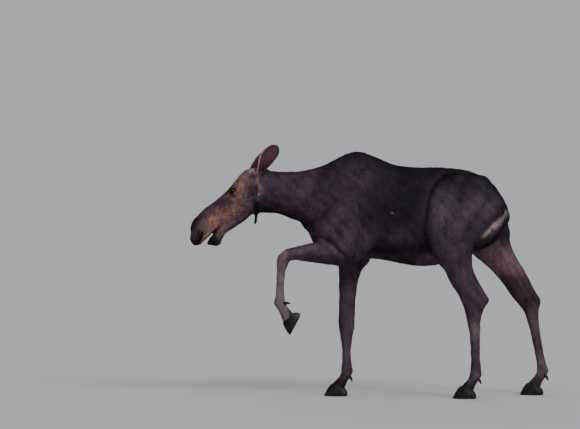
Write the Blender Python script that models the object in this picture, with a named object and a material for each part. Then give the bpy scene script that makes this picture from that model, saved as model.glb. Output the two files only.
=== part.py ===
"""A life-size cow moose (Alces alces) wading with its left foreleg lifted.

The animal faces -Y, its left side is +X and the floor is z = 0.  The flesh is
modelled whole: ring stacks for the trunk, neck, head, jaw and legs are joined
by a voxel remesh, smoothed and reduced, and then parted into named nodes by
boxes with a thin gap between each piece and the rest.  Ears, eyes, tail, bell
and horn are pieces of their own, trimmed to the flesh they sit on.
"""
import math

import bmesh
import bpy
import numpy as np
from mathutils import Matrix, Vector

# ---------------------------------------------------------------- driving sizes
WITHERS = 1.695            # height of the shoulder hump
GAP = 0.0003               # clearance between neighbouring nodes
WELD = 0.00005             # distance under which cut corners are joined
VOXEL = 0.010              # voxel of the joining remesh
SMOOTH_STEPS = 7           # smoothing passes over the joined flesh
FLESH_TRIANGLES = 4500     # triangles left on the joined flesh
HEAD_KEEP = 0.96           # reduction weight on the head, 1 elsewhere

HEAD_ORIGIN = (-0.760, 1.470)      # y, z of the point where the head axis starts
HEAD_DROP = math.radians(36.4)     # head axis below the horizontal
EYE_ALONG, EYE_UP, EYE_SIDE = 0.191, 0.079, 0.0745
EYE_RADIUS = 0.0205

EAR_LENGTH = 0.238
EAR_HALF_WIDTH = 0.049
EAR_THICKNESS = 0.0075

FETLOCK_HEIGHT = 0.165     # fetlock centre above the sole of a standing foot
CORONET = (0.055, 0.095)   # coronet centre ahead of and below the fetlock
CORONET_TILT = math.radians(20.4)
TOE_AHEAD, HEEL_AHEAD = 0.158, -0.004
CLAW_HALF_WIDTH = 0.0235
CLEFT = 0.006

# Ring tables.  Trunk and neck: y, top, bottom, mid x, half width.
TRUNK = (
    (-0.448, 1.42, 1.150, 0.0, 0.105),
    (-0.41, 1.50, 1.062, 0.0, 0.145),
    (-0.33, 1.585, 0.995, 0.0, 0.185),
    (-0.20, 1.672, 0.957, 0.0, 0.215),
    (-0.10, WITHERS, 0.948, 0.0, 0.235),
    (0.02, 1.662, 0.950, 0.0, 0.252),
    (0.15, 1.608, 0.928, 0.0, 0.275),
    (0.30, 1.589, 0.902, 0.0, 0.292),
    (0.44, 1.589, 0.908, 0.0, 0.291),
    (0.56, 1.581, 0.945, 0.0, 0.272),
    (0.68, 1.560, 0.990, 0.0, 0.245),
    (0.79, 1.506, 1.030, 0.0, 0.205),
    (0.87, 1.432, 1.095, 0.0, 0.152),
    (0.912, 1.345, 1.180, 0.0, 0.085),
)
NECK = (
    (-0.12, 1.640, 1.160, 0.0, 0.160),
    (-0.25, 1.640, 1.100, 0.0, 0.165),
    (-0.355, 1.594, 1.080, 0.0, 0.160),
    (-0.440, 1.573, 1.130, 0.0, 0.138),
    (-0.490, 1.562, 1.198, 0.0, 0.128),
    (-0.555, 1.558, 1.224, 0.0, 0.115),
    (-0.655, 1.560, 1.262, 0.0, 0.100),
    (-0.745, 1.566, 1.266, 0.0, 0.090),
    (-0.805, 1.560, 1.275, 0.0, 0.078),
)
# Head and jaw, along the head axis: s, top, bottom, mid x, half width.
HEAD = (
    (-0.060, 0.100, -0.090, 0.0, 0.068),
    (-0.010, 0.132, -0.100, 0.0, 0.080),
    (0.035, 0.147, -0.100, 0.0, 0.088),
    (0.085, 0.144, -0.090, 0.0, 0.092),
    (0.140, 0.128, -0.085, 0.0, 0.096),
    (0.200, 0.113, -0.085, 0.0, 0.093),
    (0.270, 0.103, -0.082, 0.0, 0.080),
    (0.345, 0.100, -0.076, 0.0, 0.067),
    (0.420, 0.099, -0.070, 0.0, 0.062),
    (0.485, 0.090, -0.070, 0.0, 0.067),
    (0.540, 0.077, -0.086, 0.0, 0.070),
    (0.580, 0.047, -0.092, 0.0, 0.064),
    (0.605, 0.005, -0.078, 0.0, 0.050),
)
JAW = (
    (0.040, 0.000, -0.105, 0.0, 0.055),
    (0.120, 0.000, -0.122, 0.0, 0.066),
    (0.200, -0.010, -0.133, 0.0, 0.064),
    (0.280, -0.020, -0.136, 0.0, 0.054),
    (0.350, -0.035, -0.132, 0.0, 0.045),
    (0.400, -0.050, -0.130, 0.0, 0.041),
    (0.440, -0.062, -0.143, 0.0, 0.042),
    (0.480, -0.072, -0.165, 0.0, 0.045),
    (0.515, -0.084, -0.153, 0.0, 0.042),
    (0.538, -0.098, -0.128, 0.0, 0.030),
)
MOUTH_APEX = (0.452, -0.069)       # s, t where the lips part
JAW_RISE = 11.5            # degrees that the jaw's cut rises toward the neck
MOUTH_FRONT = (0.640, -0.092, -0.126)  # s, upper and lower lip at the front

# Legs, stacked by height: z, front y, back y, mid x, half width.
HIND_LEFT = (
    (1.50, 0.54, 0.80, 0.120, 0.080),
    (1.40, 0.43, 0.88, 0.140, 0.105),
    (1.28, 0.37, 0.915, 0.152, 0.118),
    (1.15, 0.36, 0.80, 0.163, 0.115),
    (1.04, 0.38, 0.705, 0.170, 0.098),
    (0.96, 0.415, 0.685, 0.172, 0.080),
    (0.88, 0.487, 0.697, 0.172, 0.062),
    (0.80, 0.525, 0.733, 0.172, 0.052),
    (0.72, 0.575, 0.782, 0.174, 0.043),
    (0.678, 0.600, 0.808, 0.175, 0.043),
    (0.640, 0.613, 0.785, 0.175, 0.047),
    (0.590, 0.631, 0.758, 0.176, 0.045),
    (0.52, 0.645, 0.745, 0.177, 0.038),
    (0.44, 0.660, 0.742, 0.178, 0.034),
    (0.33, 0.667, 0.741, 0.179, 0.032),
    (0.235, 0.670, 0.744, 0.180, 0.033),
    (0.185, 0.667, 0.750, 0.180, 0.038),
    (0.150, 0.662, 0.748, 0.180, 0.040),
)
HIND_RIGHT = (
    (1.50, 0.56, 0.82, -0.120, 0.080),
    (1.40, 0.50, 0.89, -0.140, 0.105),
    (1.28, 0.50, 0.930, -0.152, 0.118),
    (1.15, 0.53, 0.951, -0.163, 0.112),
    (1.06, 0.60, 0.968, -0.168, 0.098),
    (0.98, 0.695, 1.000, -0.170, 0.082),
    (0.90, 0.793, 1.048, -0.171, 0.066),
    (0.80, 0.888, 1.103, -0.172, 0.054),
    (0.72, 0.947, 1.145, -0.173, 0.044),
    (0.658, 0.992, 1.182, -0.174, 0.044),
    (0.625, 1.022, 1.175, -0.174, 0.047),
    (0.580, 1.055, 1.166, -0.175, 0.044),
    (0.52, 1.078, 1.168, -0.175, 0.038),
    (0.44, 1.100, 1.177, -0.176, 0.034),
    (0.33, 1.124, 1.195, -0.177, 0.032),
    (0.235, 1.143, 1.214, -0.178, 0.033),
    (0.185, 1.148, 1.228, -0.178, 0.038),
    (0.150, 1.148, 1.230, -0.178, 0.040),
)
FORE_RIGHT = (
    (1.22, -0.33, -0.04, -0.150, 0.085),
    (1.10, -0.31, -0.01, -0.155, 0.085),
    (1.00, -0.270, 0.002, -0.152, 0.078),
    (0.93, -0.243, -0.010, -0.146, 0.068),
    (0.87, -0.232, -0.062, -0.138, 0.058),
    (0.80, -0.231, -0.088, -0.130, 0.052),
    (0.70, -0.230, -0.104, -0.118, 0.047),
    (0.62, -0.231, -0.110, -0.108, 0.046),
    (0.54, -0.234, -0.113, -0.098, 0.049),
    (0.48, -0.233, -0.116, -0.092, 0.048),
    (0.42, -0.222, -0.126, -0.088, 0.039),
    (0.35, -0.212, -0.137, -0.084, 0.033),
    (0.25, -0.209, -0.139, -0.080, 0.032),
    (0.190, -0.213, -0.131, -0.079, 0.038),
    (0.150, -0.214, -0.132, -0.078, 0.040),
)
FORE_LEFT_CANNON = (
    (1.000, -0.640, -0.560, 0.168, 0.040),
    (0.966, -0.659, -0.556, 0.168, 0.046),
    (0.930, -0.662, -0.570, 0.168, 0.043),
    (0.880, -0.661, -0.590, 0.168, 0.034),
    (0.800, -0.664, -0.601, 0.168, 0.030),
    (0.730, -0.667, -0.603, 0.168, 0.030),
    (0.680, -0.674, -0.600, 0.168, 0.034),
    (0.640, -0.677, -0.597, 0.168, 0.038),
)
# The lifted forearm runs along y: y, top, bottom, mid x, half width.
FORE_LEFT_ARM = (
    (-0.040, 1.150, 0.990, 0.165, 0.060),
    (-0.110, 1.160, 0.926, 0.168, 0.070),
    (-0.200, 1.150, 0.906, 0.170, 0.075),
    (-0.290, 1.120, 0.914, 0.170, 0.070),
    (-0.380, 1.084, 0.926, 0.170, 0.060),
    (-0.460, 1.062, 0.938, 0.170, 0.051),
    (-0.540, 1.043, 0.947, 0.169, 0.046),
    (-0.600, 1.026, 0.938, 0.168, 0.047),
    (-0.638, 0.996, 0.940, 0.168, 0.038),
)
# Shoulder masses, stacked by height and mirrored.
SHOULDER = (
    (1.56, -0.20, 0.02, 0.080, 0.045),
    (1.44, -0.28, 0.05, 0.120, 0.070),
    (1.30, -0.35, 0.06, 0.146, 0.088),
    (1.18, -0.40, 0.04, 0.158, 0.090),
    (1.08, -0.375, 0.01, 0.162, 0.082),
    (1.00, -0.30, -0.02, 0.160, 0.060),
)

# Rounded masses, mirrored: centre x, y, z and half sizes along x, y, z.
BODY_LUMPS = (
    ((0.130, 0.555, 1.500), (0.060, 0.095, 0.060)),   # point of the hip
    ((0.148, -0.360, 1.175), (0.066, 0.062, 0.080)),  # point of the shoulder
    ((0.090, 0.860, 1.365), (0.070, 0.070, 0.090)),   # pin bone
)
# The same on the head: side, along, up and half sizes side, along, up.
HEAD_LUMPS = (
    ((0.058, 0.180, 0.078), (0.040, 0.050, 0.036)),   # orbit
    ((0.052, 0.165, -0.030), (0.034, 0.105, 0.075)),  # cheek muscle
    ((0.040, 0.545, 0.010), (0.034, 0.050, 0.050)),   # nostril wing
    ((0.045, 0.020, 0.090), (0.045, 0.045, 0.045)),   # ear root
)

# Pastern in the foot's own frame: along, front, back, mid x, half width.
PASTERN = (
    (-0.030, 0.036, -0.040, 0.0, 0.036),
    (0.010, 0.038, -0.043, 0.0, 0.040),
    (0.050, 0.034, -0.039, 0.0, 0.039),
    (0.085, 0.041, -0.043, 0.0, 0.043),
    (0.125, 0.052, -0.049, 0.0, 0.048),
)

# Feet: name, side sign, fetlock centre (x, y, z), backward flexion in degrees.
FEET = (
    ("fore_left", 1, (0.168, -0.638, 0.650), 62.0),
    ("fore_right", -1, (-0.078, -0.173, FETLOCK_HEIGHT), 0.0),
    ("hind_left", 1, (0.180, 0.706, FETLOCK_HEIGHT), 0.0),
    ("hind_right", -1, (-0.178, 1.190, FETLOCK_HEIGHT), 0.0),
)

# Height at which each cannon is parted from the leg above it.
CANNON_TOP = {"fore_left": 0.915, "fore_right": 0.455,
              "hind_left": 0.585, "hind_right": 0.575}

# Boxes that part the flesh: name, a point on the cut, half sizes, turn about x
# in degrees and the face of the box that lies on the cut.
PARTS = (
    ("foreleg_left", (0.245, -0.265, 1.010), (0.155, 0.600, 0.450), -24.6, "top"),
    ("foreleg_right", (-0.145, -0.120, 0.922), (0.145, 0.220, 0.520), 0.0, "top"),
    ("head", (0.0, -0.782, 1.420), (0.40, 0.400, 0.600), -6.7, "back"),
    ("neck", (0.0, -0.345, 1.380), (0.40, 0.300, 0.600), -20.0, "back"),
    ("hindleg_left", (0.300, 0.775, 1.310), (0.245, 0.400, 0.700), 0.0, "top"),
    ("hindleg_right", (-0.300, 0.910, 1.310), (0.245, 0.420, 0.700), 0.0, "top"),
)


# ---------------------------------------------------------------- small helpers
def clear_scene():
    for obj in list(bpy.data.objects):
        bpy.data.objects.remove(obj, do_unlink=True)


def material(name, colour, roughness):
    mat = bpy.data.materials.new(name)
    mat.use_nodes = True
    shader = mat.node_tree.nodes["Principled BSDF"]
    shader.inputs["Base Color"].default_value = (*colour, 1.0)
    shader.inputs["Roughness"].default_value = roughness
    shader.inputs["Metallic"].default_value = 0.0
    mat.diffuse_color = (*colour, 1.0)
    return mat


def new_object(name, verts, faces, mat=None):
    mesh = bpy.data.meshes.new(name)
    mesh.from_pydata([tuple(v) for v in verts], [], faces)
    mesh.validate()
    obj = bpy.data.objects.new(name, mesh)
    bpy.context.scene.collection.objects.link(obj)
    if mat is not None:
        mesh.materials.append(mat)
    return obj


def bake(obj):
    """Replace the object's mesh by the result of its modifiers."""
    graph = bpy.context.evaluated_depsgraph_get()
    mesh = bpy.data.meshes.new_from_object(obj.evaluated_get(graph))
    obj.modifiers.clear()
    obj.data = mesh


def recalc(obj):
    mesh = bmesh.new()
    mesh.from_mesh(obj.data)
    bmesh.ops.recalc_face_normals(mesh, faces=mesh.faces)
    mesh.to_mesh(obj.data)
    mesh.free()


def spline_rows(rows, count):
    """Cubic rows through the given ones, evenly spaced in the first column."""
    rows = np.array(rows, float)
    if rows[-1, 0] < rows[0, 0]:
        rows = rows[::-1]
    at = rows[:, 0]
    slope = np.gradient(rows, at, axis=0)
    want = np.linspace(at[0], at[-1], count)
    cell = np.clip(np.searchsorted(at, want) - 1, 0, len(at) - 2)
    width = (at[cell + 1] - at[cell])[:, None]
    t = (want - at[cell])[:, None] / width
    low, high = rows[cell], rows[cell + 1]
    low_slope, high_slope = slope[cell] * width, slope[cell + 1] * width
    return ((2 * t**3 - 3 * t**2 + 1) * low + (t**3 - 2 * t**2 + t) * low_slope
            + (3 * t**2 - 2 * t**3) * high + (t**3 - t**2) * high_slope)


def stack(rows, origin, along, up, count=24, around=20, power=(2.0, 2.0),
          middle=0.5, cap=0.5):
    """Closed ring stack.  A row is: along, high, low, mid side, half side."""
    rows = spline_rows(rows, count)
    along, up = np.array(along, float), np.array(up, float)
    side = np.array((1.0, 0.0, 0.0))
    turn = np.linspace(0.0, 2.0 * math.pi, around, endpoint=False)
    c, s = np.cos(turn), np.sin(turn)
    rings, tips = [], []
    arc = np.radians((75.0, 50.0, 25.0))
    ends = [(0, -1.0, k) for k in arc] + [(None, 0.0, 0.0)] + [
        (len(rows) - 1, 1.0, k) for k in arc[::-1]]
    for index, sign, bend in ends:
        picked = rows if index is None else rows[index:index + 1]
        for at, high, low, mid, half in picked:
            grow = math.cos(bend)
            reach = cap * min(half, 0.5 * (high - low))
            at = at + sign * reach * math.sin(bend)
            centre = low + middle * (high - low)
            exponent = np.where(c > 0, power[0], power[1])
            u = np.sign(c) * np.abs(c) ** (2.0 / exponent)
            v = np.sign(s) * np.abs(s) ** (2.0 / exponent)
            rise = np.where(c > 0, high - centre, centre - low) * u * grow
            ring = (np.array(origin) + along * at
                    + np.outer(centre + rise, up)
                    + np.outer(mid + half * v * grow, side))
            rings.append(ring)
    for index, sign in ((0, -1.0), (len(rows) - 1, 1.0)):
        at, high, low, mid, half = rows[index]
        reach = cap * min(half, 0.5 * (high - low))
        centre = low + middle * (high - low)
        tips.append(np.array(origin) + along * (at + sign * reach)
                    + up * centre + side * mid)
    verts = np.concatenate(rings + [np.array(tips)])
    total = len(rings)
    faces = []
    for r in range(total - 1):
        for k in range(around):
            n = (k + 1) % around
            faces.append((r * around + k, r * around + n,
                          (r + 1) * around + n, (r + 1) * around + k))
    first, last = total * around, total * around + 1
    for k in range(around):
        n = (k + 1) % around
        faces.append((first, n, k))
        faces.append((last, (total - 1) * around + k, (total - 1) * around + n))
    return verts, faces


def lump(centre, half, axes, around=16, rings=9):
    """Closed ellipsoid with its half sizes along the three given axes."""
    verts, faces = [], []
    axes = [Vector(axis) for axis in axes]
    for i in range(rings):
        tilt = math.pi * (i + 1) / (rings + 1)
        for k in range(around):
            turn = 2.0 * math.pi * k / around
            local = (math.sin(tilt) * math.cos(turn),
                     math.sin(tilt) * math.sin(turn), math.cos(tilt))
            verts.append(Vector(centre) + sum(
                (axis * (h * c) for axis, h, c in zip(axes, half, local)),
                Vector()))
    verts.append(Vector(centre) + axes[2] * half[2])
    verts.append(Vector(centre) - axes[2] * half[2])
    for i in range(rings - 1):
        for k in range(around):
            n = (k + 1) % around
            faces.append((i * around + k, (i + 1) * around + k,
                          (i + 1) * around + n, i * around + n))
    top, bottom = rings * around, rings * around + 1
    for k in range(around):
        n = (k + 1) % around
        faces.append((top, k, n))
        faces.append((bottom, (rings - 1) * around + n, (rings - 1) * around + k))
    return verts, faces


def head_frame():
    along = (0.0, -math.cos(HEAD_DROP), -math.sin(HEAD_DROP))
    up = (0.0, -math.sin(HEAD_DROP), math.cos(HEAD_DROP))
    origin = (0.0, HEAD_ORIGIN[0], HEAD_ORIGIN[1])
    return origin, along, up


def head_point(s, t, x=0.0):
    origin, along, up = head_frame()
    return Vector(origin) + Vector(along) * s + Vector(up) * t + Vector((x, 0, 0))


def foot_frame(fetlock, flex):
    """Forward and down directions of a foot flexed back by flex degrees."""
    bend = math.radians(flex)
    forward = Vector((0.0, -math.cos(bend), -math.sin(bend)))
    down = Vector((0.0, math.sin(bend), -math.cos(bend)))
    return Vector(fetlock), forward, down


# ---------------------------------------------------------------- the flesh
def flesh_forms():
    """Every ring stack that makes up the flesh, as vertices and faces."""
    y_axis, z_axis = (0.0, 1.0, 0.0), (0.0, 0.0, 1.0)
    zero = (0.0, 0.0, 0.0)
    origin, along, up = head_frame()
    forms = [
        stack(TRUNK, zero, y_axis, z_axis, 40, 32, (1.75, 2.1), 0.46, 0.55),
        stack(NECK, zero, y_axis, z_axis, 24, 24, (1.9, 2.0), 0.50, 0.4),
        stack(HEAD, origin, along, up, 40, 28, (2.1, 2.3), 0.45, 0.7),
        stack(JAW, origin, along, up, 30, 20, (2.2, 2.2), 0.5, 0.8),
        stack(FORE_LEFT_ARM, zero, y_axis, z_axis, 24, 20),
        stack(FORE_LEFT_CANNON, zero, z_axis, y_axis, 20, 20),
    ]
    for rows in (HIND_LEFT, HIND_RIGHT, FORE_RIGHT):
        flipped = [(z, back, front, x, half) for z, front, back, x, half in rows]
        forms.append(stack(flipped, zero, z_axis, y_axis, 48, 20))
    for side in (1.0, -1.0):
        rows = [(z, back, front, side * x, half)
                for z, front, back, x, half in SHOULDER]
        forms.append(stack(rows, zero, z_axis, y_axis, 16, 20, middle=0.5, cap=1.0))
        world = ((1.0, 0.0, 0.0), y_axis, z_axis)
        for (x, y, z), half in BODY_LUMPS:
            forms.append(lump((side * x, y, z), half, world))
        for (x, s, t), half in HEAD_LUMPS:
            forms.append(lump(head_point(s, t, side * x), half,
                              ((1.0, 0.0, 0.0), along, up)))
    for name, side, fetlock, flex in FEET:
        at, forward, down = foot_frame(fetlock, flex)
        reach = Vector(CORONET)
        slope = (forward * reach[0] + down * reach[1]).normalized()
        ahead = (forward * reach[1] - down * reach[0]).normalized()
        rows = [(a, f, b, fetlock[0], w) for a, f, b, m, w in PASTERN]
        base = Vector((0.0, at.y, at.z))
        forms.append(stack(rows, base, slope, ahead, 12, 18, cap=0.3))
    return forms


def build_flesh():
    verts, faces, start = [], [], 0
    for form_verts, form_faces in flesh_forms():
        verts.extend(form_verts)
        faces.extend(tuple(i + start for i in face) for face in form_faces)
        start += len(form_verts)
    flesh = new_object("flesh", verts, faces)
    recalc(flesh)
    remesh = flesh.modifiers.new("Join", "REMESH")
    remesh.mode = "VOXEL"
    remesh.voxel_size = VOXEL
    soften = flesh.modifiers.new("Soften", "SMOOTH")
    soften.factor = 0.5
    soften.iterations = SMOOTH_STEPS
    bake(flesh)
    group = flesh.vertex_groups.new(name="plain")
    edge = head_point(0.0, 0.0).y
    for vertex in flesh.data.vertices:
        body = 1.0 if vertex.co.y > edge else HEAD_KEEP
        group.add([vertex.index], body, "REPLACE")
    reduce = flesh.modifiers.new("Reduce", "DECIMATE")
    reduce.ratio = FLESH_TRIANGLES / (2.0 * len(flesh.data.polygons))
    reduce.vertex_group = "plain"
    reduce.vertex_group_factor = 1.0
    bake(flesh)
    flesh.vertex_groups.clear()
    return flesh


# ---------------------------------------------------------------- cutting tools
def boolean(obj, cutter, operation):
    cut = obj.modifiers.new("Cut", "BOOLEAN")
    cut.operation = operation
    cut.solver = "EXACT"
    cut.object = cutter
    bake(obj)


def copy_of(obj, name):
    twin = obj.copy()
    twin.data = obj.data.copy()
    twin.name = name
    bpy.context.scene.collection.objects.link(twin)
    return twin


def remove(obj):
    bpy.data.objects.remove(obj, do_unlink=True)


def box(name, centre, half, turn):
    corners = [(x, y, z) for x in (-1, 1) for y in (-1, 1) for z in (-1, 1)]
    faces = [(0, 1, 3, 2), (4, 6, 7, 5), (0, 4, 5, 1), (2, 3, 7, 6),
             (0, 2, 6, 4), (1, 5, 7, 3)]
    spin = Matrix.Rotation(math.radians(turn), 3, "X")
    verts = [Vector(centre) + spin @ Vector((c[0] * half[0], c[1] * half[1],
                                            c[2] * half[2])) for c in corners]
    cutter = new_object(name, verts, faces)
    recalc(cutter)
    cutter.hide_render = True
    cutter.display_type = "WIRE"
    return cutter


def part_off(body, name, point, half, turn=0.0, face="top"):
    """Take the part of body inside a box, with a thin gap to the rest.

    The middle of the box's named face lies on the given point.
    """
    spin = Matrix.Rotation(math.radians(turn), 3, "X")
    reach = {"top": (0, 0, -half[2]), "back": (0, -half[1], 0)}[face]
    centre = Vector(point) + spin @ Vector(reach)
    piece = copy_of(body, name)
    inner = box("inner", centre, half, turn)
    boolean(piece, inner, "INTERSECT")
    outer = box("outer", centre, [h + GAP for h in half], turn)
    boolean(body, outer, "DIFFERENCE")
    remove(inner)
    remove(outer)
    return piece


def grown(obj, gap):
    """A copy of obj pushed outward by gap along its normals."""
    twin = copy_of(obj, "grown")
    for vertex, normal in zip(twin.data.vertices, obj.data.vertex_normals):
        vertex.co += normal.vector * gap
    return twin


def trim_to(piece, flesh, gap=GAP * 1.5):
    """Cut the piece back to the surface of the flesh that carries it."""
    cutter = grown(flesh, gap)
    boolean(piece, cutter, "DIFFERENCE")
    remove(cutter)


def tidy_mesh(obj):
    """Weld slivers and drop the small loose bits that a cut may leave."""
    mesh = bmesh.new()
    mesh.from_mesh(obj.data)
    bmesh.ops.triangulate(mesh, faces=mesh.faces)
    bmesh.ops.remove_doubles(mesh, verts=mesh.verts, dist=WELD)
    bmesh.ops.dissolve_degenerate(mesh, edges=mesh.edges, dist=WELD)
    bmesh.ops.triangulate(mesh, faces=mesh.faces)
    left, shells = set(mesh.verts), []
    while left:
        seed = left.pop()
        shell, edge = {seed}, [seed]
        while edge:
            for link in edge.pop().link_edges:
                for vertex in link.verts:
                    if vertex not in shell:
                        shell.add(vertex)
                        edge.append(vertex)
        left -= shell
        shells.append(shell)
    shells.sort(key=len)
    loose = [vertex for shell in shells[:-1] for vertex in shell]
    bmesh.ops.delete(mesh, geom=loose, context="VERTS")
    mesh.to_mesh(obj.data)
    mesh.free()


# ---------------------------------------------------------------- other pieces
def ear(name, side, base, tip, facing):
    """Cupped leaf: a trough of given width and depth along the ear's axis."""
    base, tip = Vector(base), Vector(tip)
    axis = (tip - base).normalized()
    face = Vector(facing)
    face = (face - axis * face.dot(axis)).normalized()
    across = axis.cross(face).normalized()
    length = (tip - base).length
    rows, columns = 10, 7
    outer, inner = [], []
    for i in range(rows):
        u = -0.10 + 1.10 * i / (rows - 1)
        leaf = max(u + 0.10, 0.0)
        width = EAR_HALF_WIDTH * (0.42 + 0.58 * math.sin(
            math.pi * min(max(leaf / 1.10, 0.0), 1.0) ** 1.05) ** 0.9)
        if u > 0.62:
            width *= math.sqrt(max(1.0 - ((u - 0.62) / 0.40) ** 2.3, 0.02))
        depth = 0.046 * (1.0 - 0.72 * min(max(u, 0.0), 1.0))
        depth *= width / EAR_HALF_WIDTH if u > 0.62 else 1.0
        lean = 0.020 * math.sin(math.pi * min(max(u, 0.0), 1.0))
        for j in range(columns):
            v = -1.0 + 2.0 * j / (columns - 1)
            thick = EAR_THICKNESS * (1.0 - 0.55 * v * v)
            point = (base + axis * (u * length) + across * (width * v)
                     + face * (lean - depth * (1.0 - v * v)))
            inner.append(point)
            outer.append(point - face * thick - across * (thick * 0.3 * v * 0.0))
    verts = inner + outer
    shift = rows * columns
    faces = []
    for i in range(rows - 1):
        for j in range(columns - 1):
            a, b = i * columns + j, i * columns + j + 1
            c, d = b + columns, a + columns
            faces.append((a, b, c, d))
            faces.append((a + shift, d + shift, c + shift, b + shift))
        for j in (0, columns - 1):
            a, d = i * columns + j, (i + 1) * columns + j
            faces.append((a, d, d + shift, a + shift))
    for i in (0, rows - 1):
        for j in range(columns - 1):
            a, b = i * columns + j, i * columns + j + 1
            faces.append((a, a + shift, b + shift, b))
    piece = new_object(name, verts, faces)
    recalc(piece)
    return piece


def drop(name, points, radii, around=10, flat=1.0):
    """Tapering round piece through points, closed at both ends."""
    rings, faces = [], []
    count = len(points)
    points = [Vector(p) for p in points]
    for i, (point, radius) in enumerate(zip(points, radii)):
        ahead = points[min(i + 1, count - 1)] - points[max(i - 1, 0)]
        ahead.normalize()
        side = Vector((1.0, 0.0, 0.0))
        other = ahead.cross(side).normalized()
        for k in range(around):
            turn = 2.0 * math.pi * k / around
            rings.append(point + side * (radius * math.cos(turn))
                         + other * (radius * flat * math.sin(turn)))
    for i in range(count - 1):
        for k in range(around):
            n = (k + 1) % around
            faces.append((i * around + k, i * around + n,
                          (i + 1) * around + n, (i + 1) * around + k))
    faces.append(tuple(range(around)))
    faces.append(tuple((count - 1) * around + k for k in reversed(range(around))))
    piece = new_object(name, rings, faces)
    recalc(piece)
    return piece


def ball(name, centre, radius, segments=12, rings=7):
    mesh = bpy.data.meshes.new(name)
    build = bmesh.new()
    bmesh.ops.create_uvsphere(build, u_segments=segments, v_segments=rings,
                              radius=radius)
    bmesh.ops.rotate(build, matrix=Matrix.Rotation(math.radians(90), 3, "Y"),
                     verts=build.verts)
    bmesh.ops.translate(build, vec=Vector(centre), verts=build.verts)
    build.to_mesh(mesh)
    build.free()
    obj = bpy.data.objects.new(name, mesh)
    bpy.context.scene.collection.objects.link(obj)
    return obj


def claw(name, side_x, hand, fetlock, flex):
    """One hoof claw: rings from the coronet plane down to the flat sole."""
    at, forward, down = foot_frame(fetlock, flex)
    at = Vector((0.0, at.y, at.z))
    around = 12
    tilt = math.tan(CORONET_TILT)
    levels = (0.0, 0.12, 0.55, 1.0)
    rings, faces = [], []
    for level in levels:
        back = (1 - level) * (CORONET[0] - 0.050) + level * HEEL_AHEAD
        front = (1 - level) * (CORONET[0] + 0.050) + level * TOE_AHEAD
        half = CLAW_HALF_WIDTH * (0.93 + 0.07 * level)
        if level == 0.12:
            half *= 1.03
            front += 0.002
        middle, reach = 0.5 * (front + back), 0.5 * (front - back)
        for k in range(around):
            turn = 2.0 * math.pi * k / around
            c, s = math.cos(turn), math.sin(turn)
            taper = 1.0 - (0.10 + 0.38 * level) * max(c, 0.0) ** 2
            inward = s * hand < 0.0
            wide = half * (0.86 if inward else 1.0) * taper
            x = side_x + hand * (0.5 * CLEFT + half * 0.86 * taper)
            x += s * wide
            ahead = middle + reach * c
            top = CORONET[1] - (ahead - CORONET[0]) * tilt + 2.0 * GAP
            depth = (1 - level) * top + level * FETLOCK_HEIGHT
            rings.append(at + forward * ahead + down * depth + Vector((x, 0, 0)))
    count = len(levels)
    for i in range(count - 1):
        for k in range(around):
            n = (k + 1) % around
            faces.append((i * around + k, i * around + n,
                          (i + 1) * around + n, (i + 1) * around + k))
    faces.append(tuple(range(around)))
    faces.append(tuple((count - 1) * around + k for k in reversed(range(around))))
    piece = new_object(name, rings, faces)
    recalc(piece)
    return piece


def dewclaw(name, side_x, hand, fetlock, flex):
    at, forward, down = foot_frame(fetlock, flex)
    at = Vector((side_x + hand * 0.023, at.y, at.z))
    points = [at + forward * f + down * d for f, d in
              ((-0.018, 0.018), (-0.031, 0.038), (-0.038, 0.054), (-0.041, 0.065))]
    return drop(name, points, (0.013, 0.0145, 0.011, 0.005), 7, 0.85)


# ---------------------------------------------------------------- assembly
def open_mouth(head):
    """Wedge between the lips, from the apex to beyond the muzzle."""
    low, high = -0.12, 0.12
    tip = MOUTH_APEX
    front = MOUTH_FRONT
    profile = ((tip[0], tip[1] + 0.0006), (front[0], front[1]),
               (front[0], front[2]), (tip[0], tip[1] - 0.0006))
    verts = [head_point(s, t, x) for x in (low, high) for s, t in profile]
    faces = [(0, 1, 2, 3), (7, 6, 5, 4), (0, 4, 5, 1), (1, 5, 6, 2),
             (2, 6, 7, 3), (3, 7, 4, 0)]
    cutter = new_object("mouth_gap", verts, faces)
    recalc(cutter)
    boolean(head, cutter, "DIFFERENCE")
    remove(cutter)


def part_jaw(head):
    """The lower jaw is what lies below the line of the mouth."""
    turn = math.degrees(HEAD_DROP) + JAW_RISE
    back = head_point(MOUTH_APEX[0], MOUTH_APEX[1])
    return part_off(head, "lower_jaw", back, (0.30, 0.60, 0.20), turn)


def trim_coronet(foot, fetlock, flex):
    """Cut the pastern flat where the claws begin."""
    at, forward, down = foot_frame(fetlock, flex)
    centre = (at + forward * CORONET[0] + down * CORONET[1])
    normal = (down * math.cos(CORONET_TILT) + forward * math.sin(CORONET_TILT))
    mesh = bmesh.new()
    mesh.from_mesh(foot.data)
    geom = mesh.verts[:] + mesh.edges[:] + mesh.faces[:]
    cut = bmesh.ops.bisect_plane(mesh, geom=geom, plane_co=centre,
                                 plane_no=normal, clear_outer=True)
    rim = [e for e in cut["geom_cut"] if isinstance(e, bmesh.types.BMEdge)]
    bmesh.ops.holes_fill(mesh, edges=rim, sides=0)
    bmesh.ops.triangulate(mesh, faces=mesh.faces)
    mesh.to_mesh(foot.data)
    mesh.free()


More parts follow.
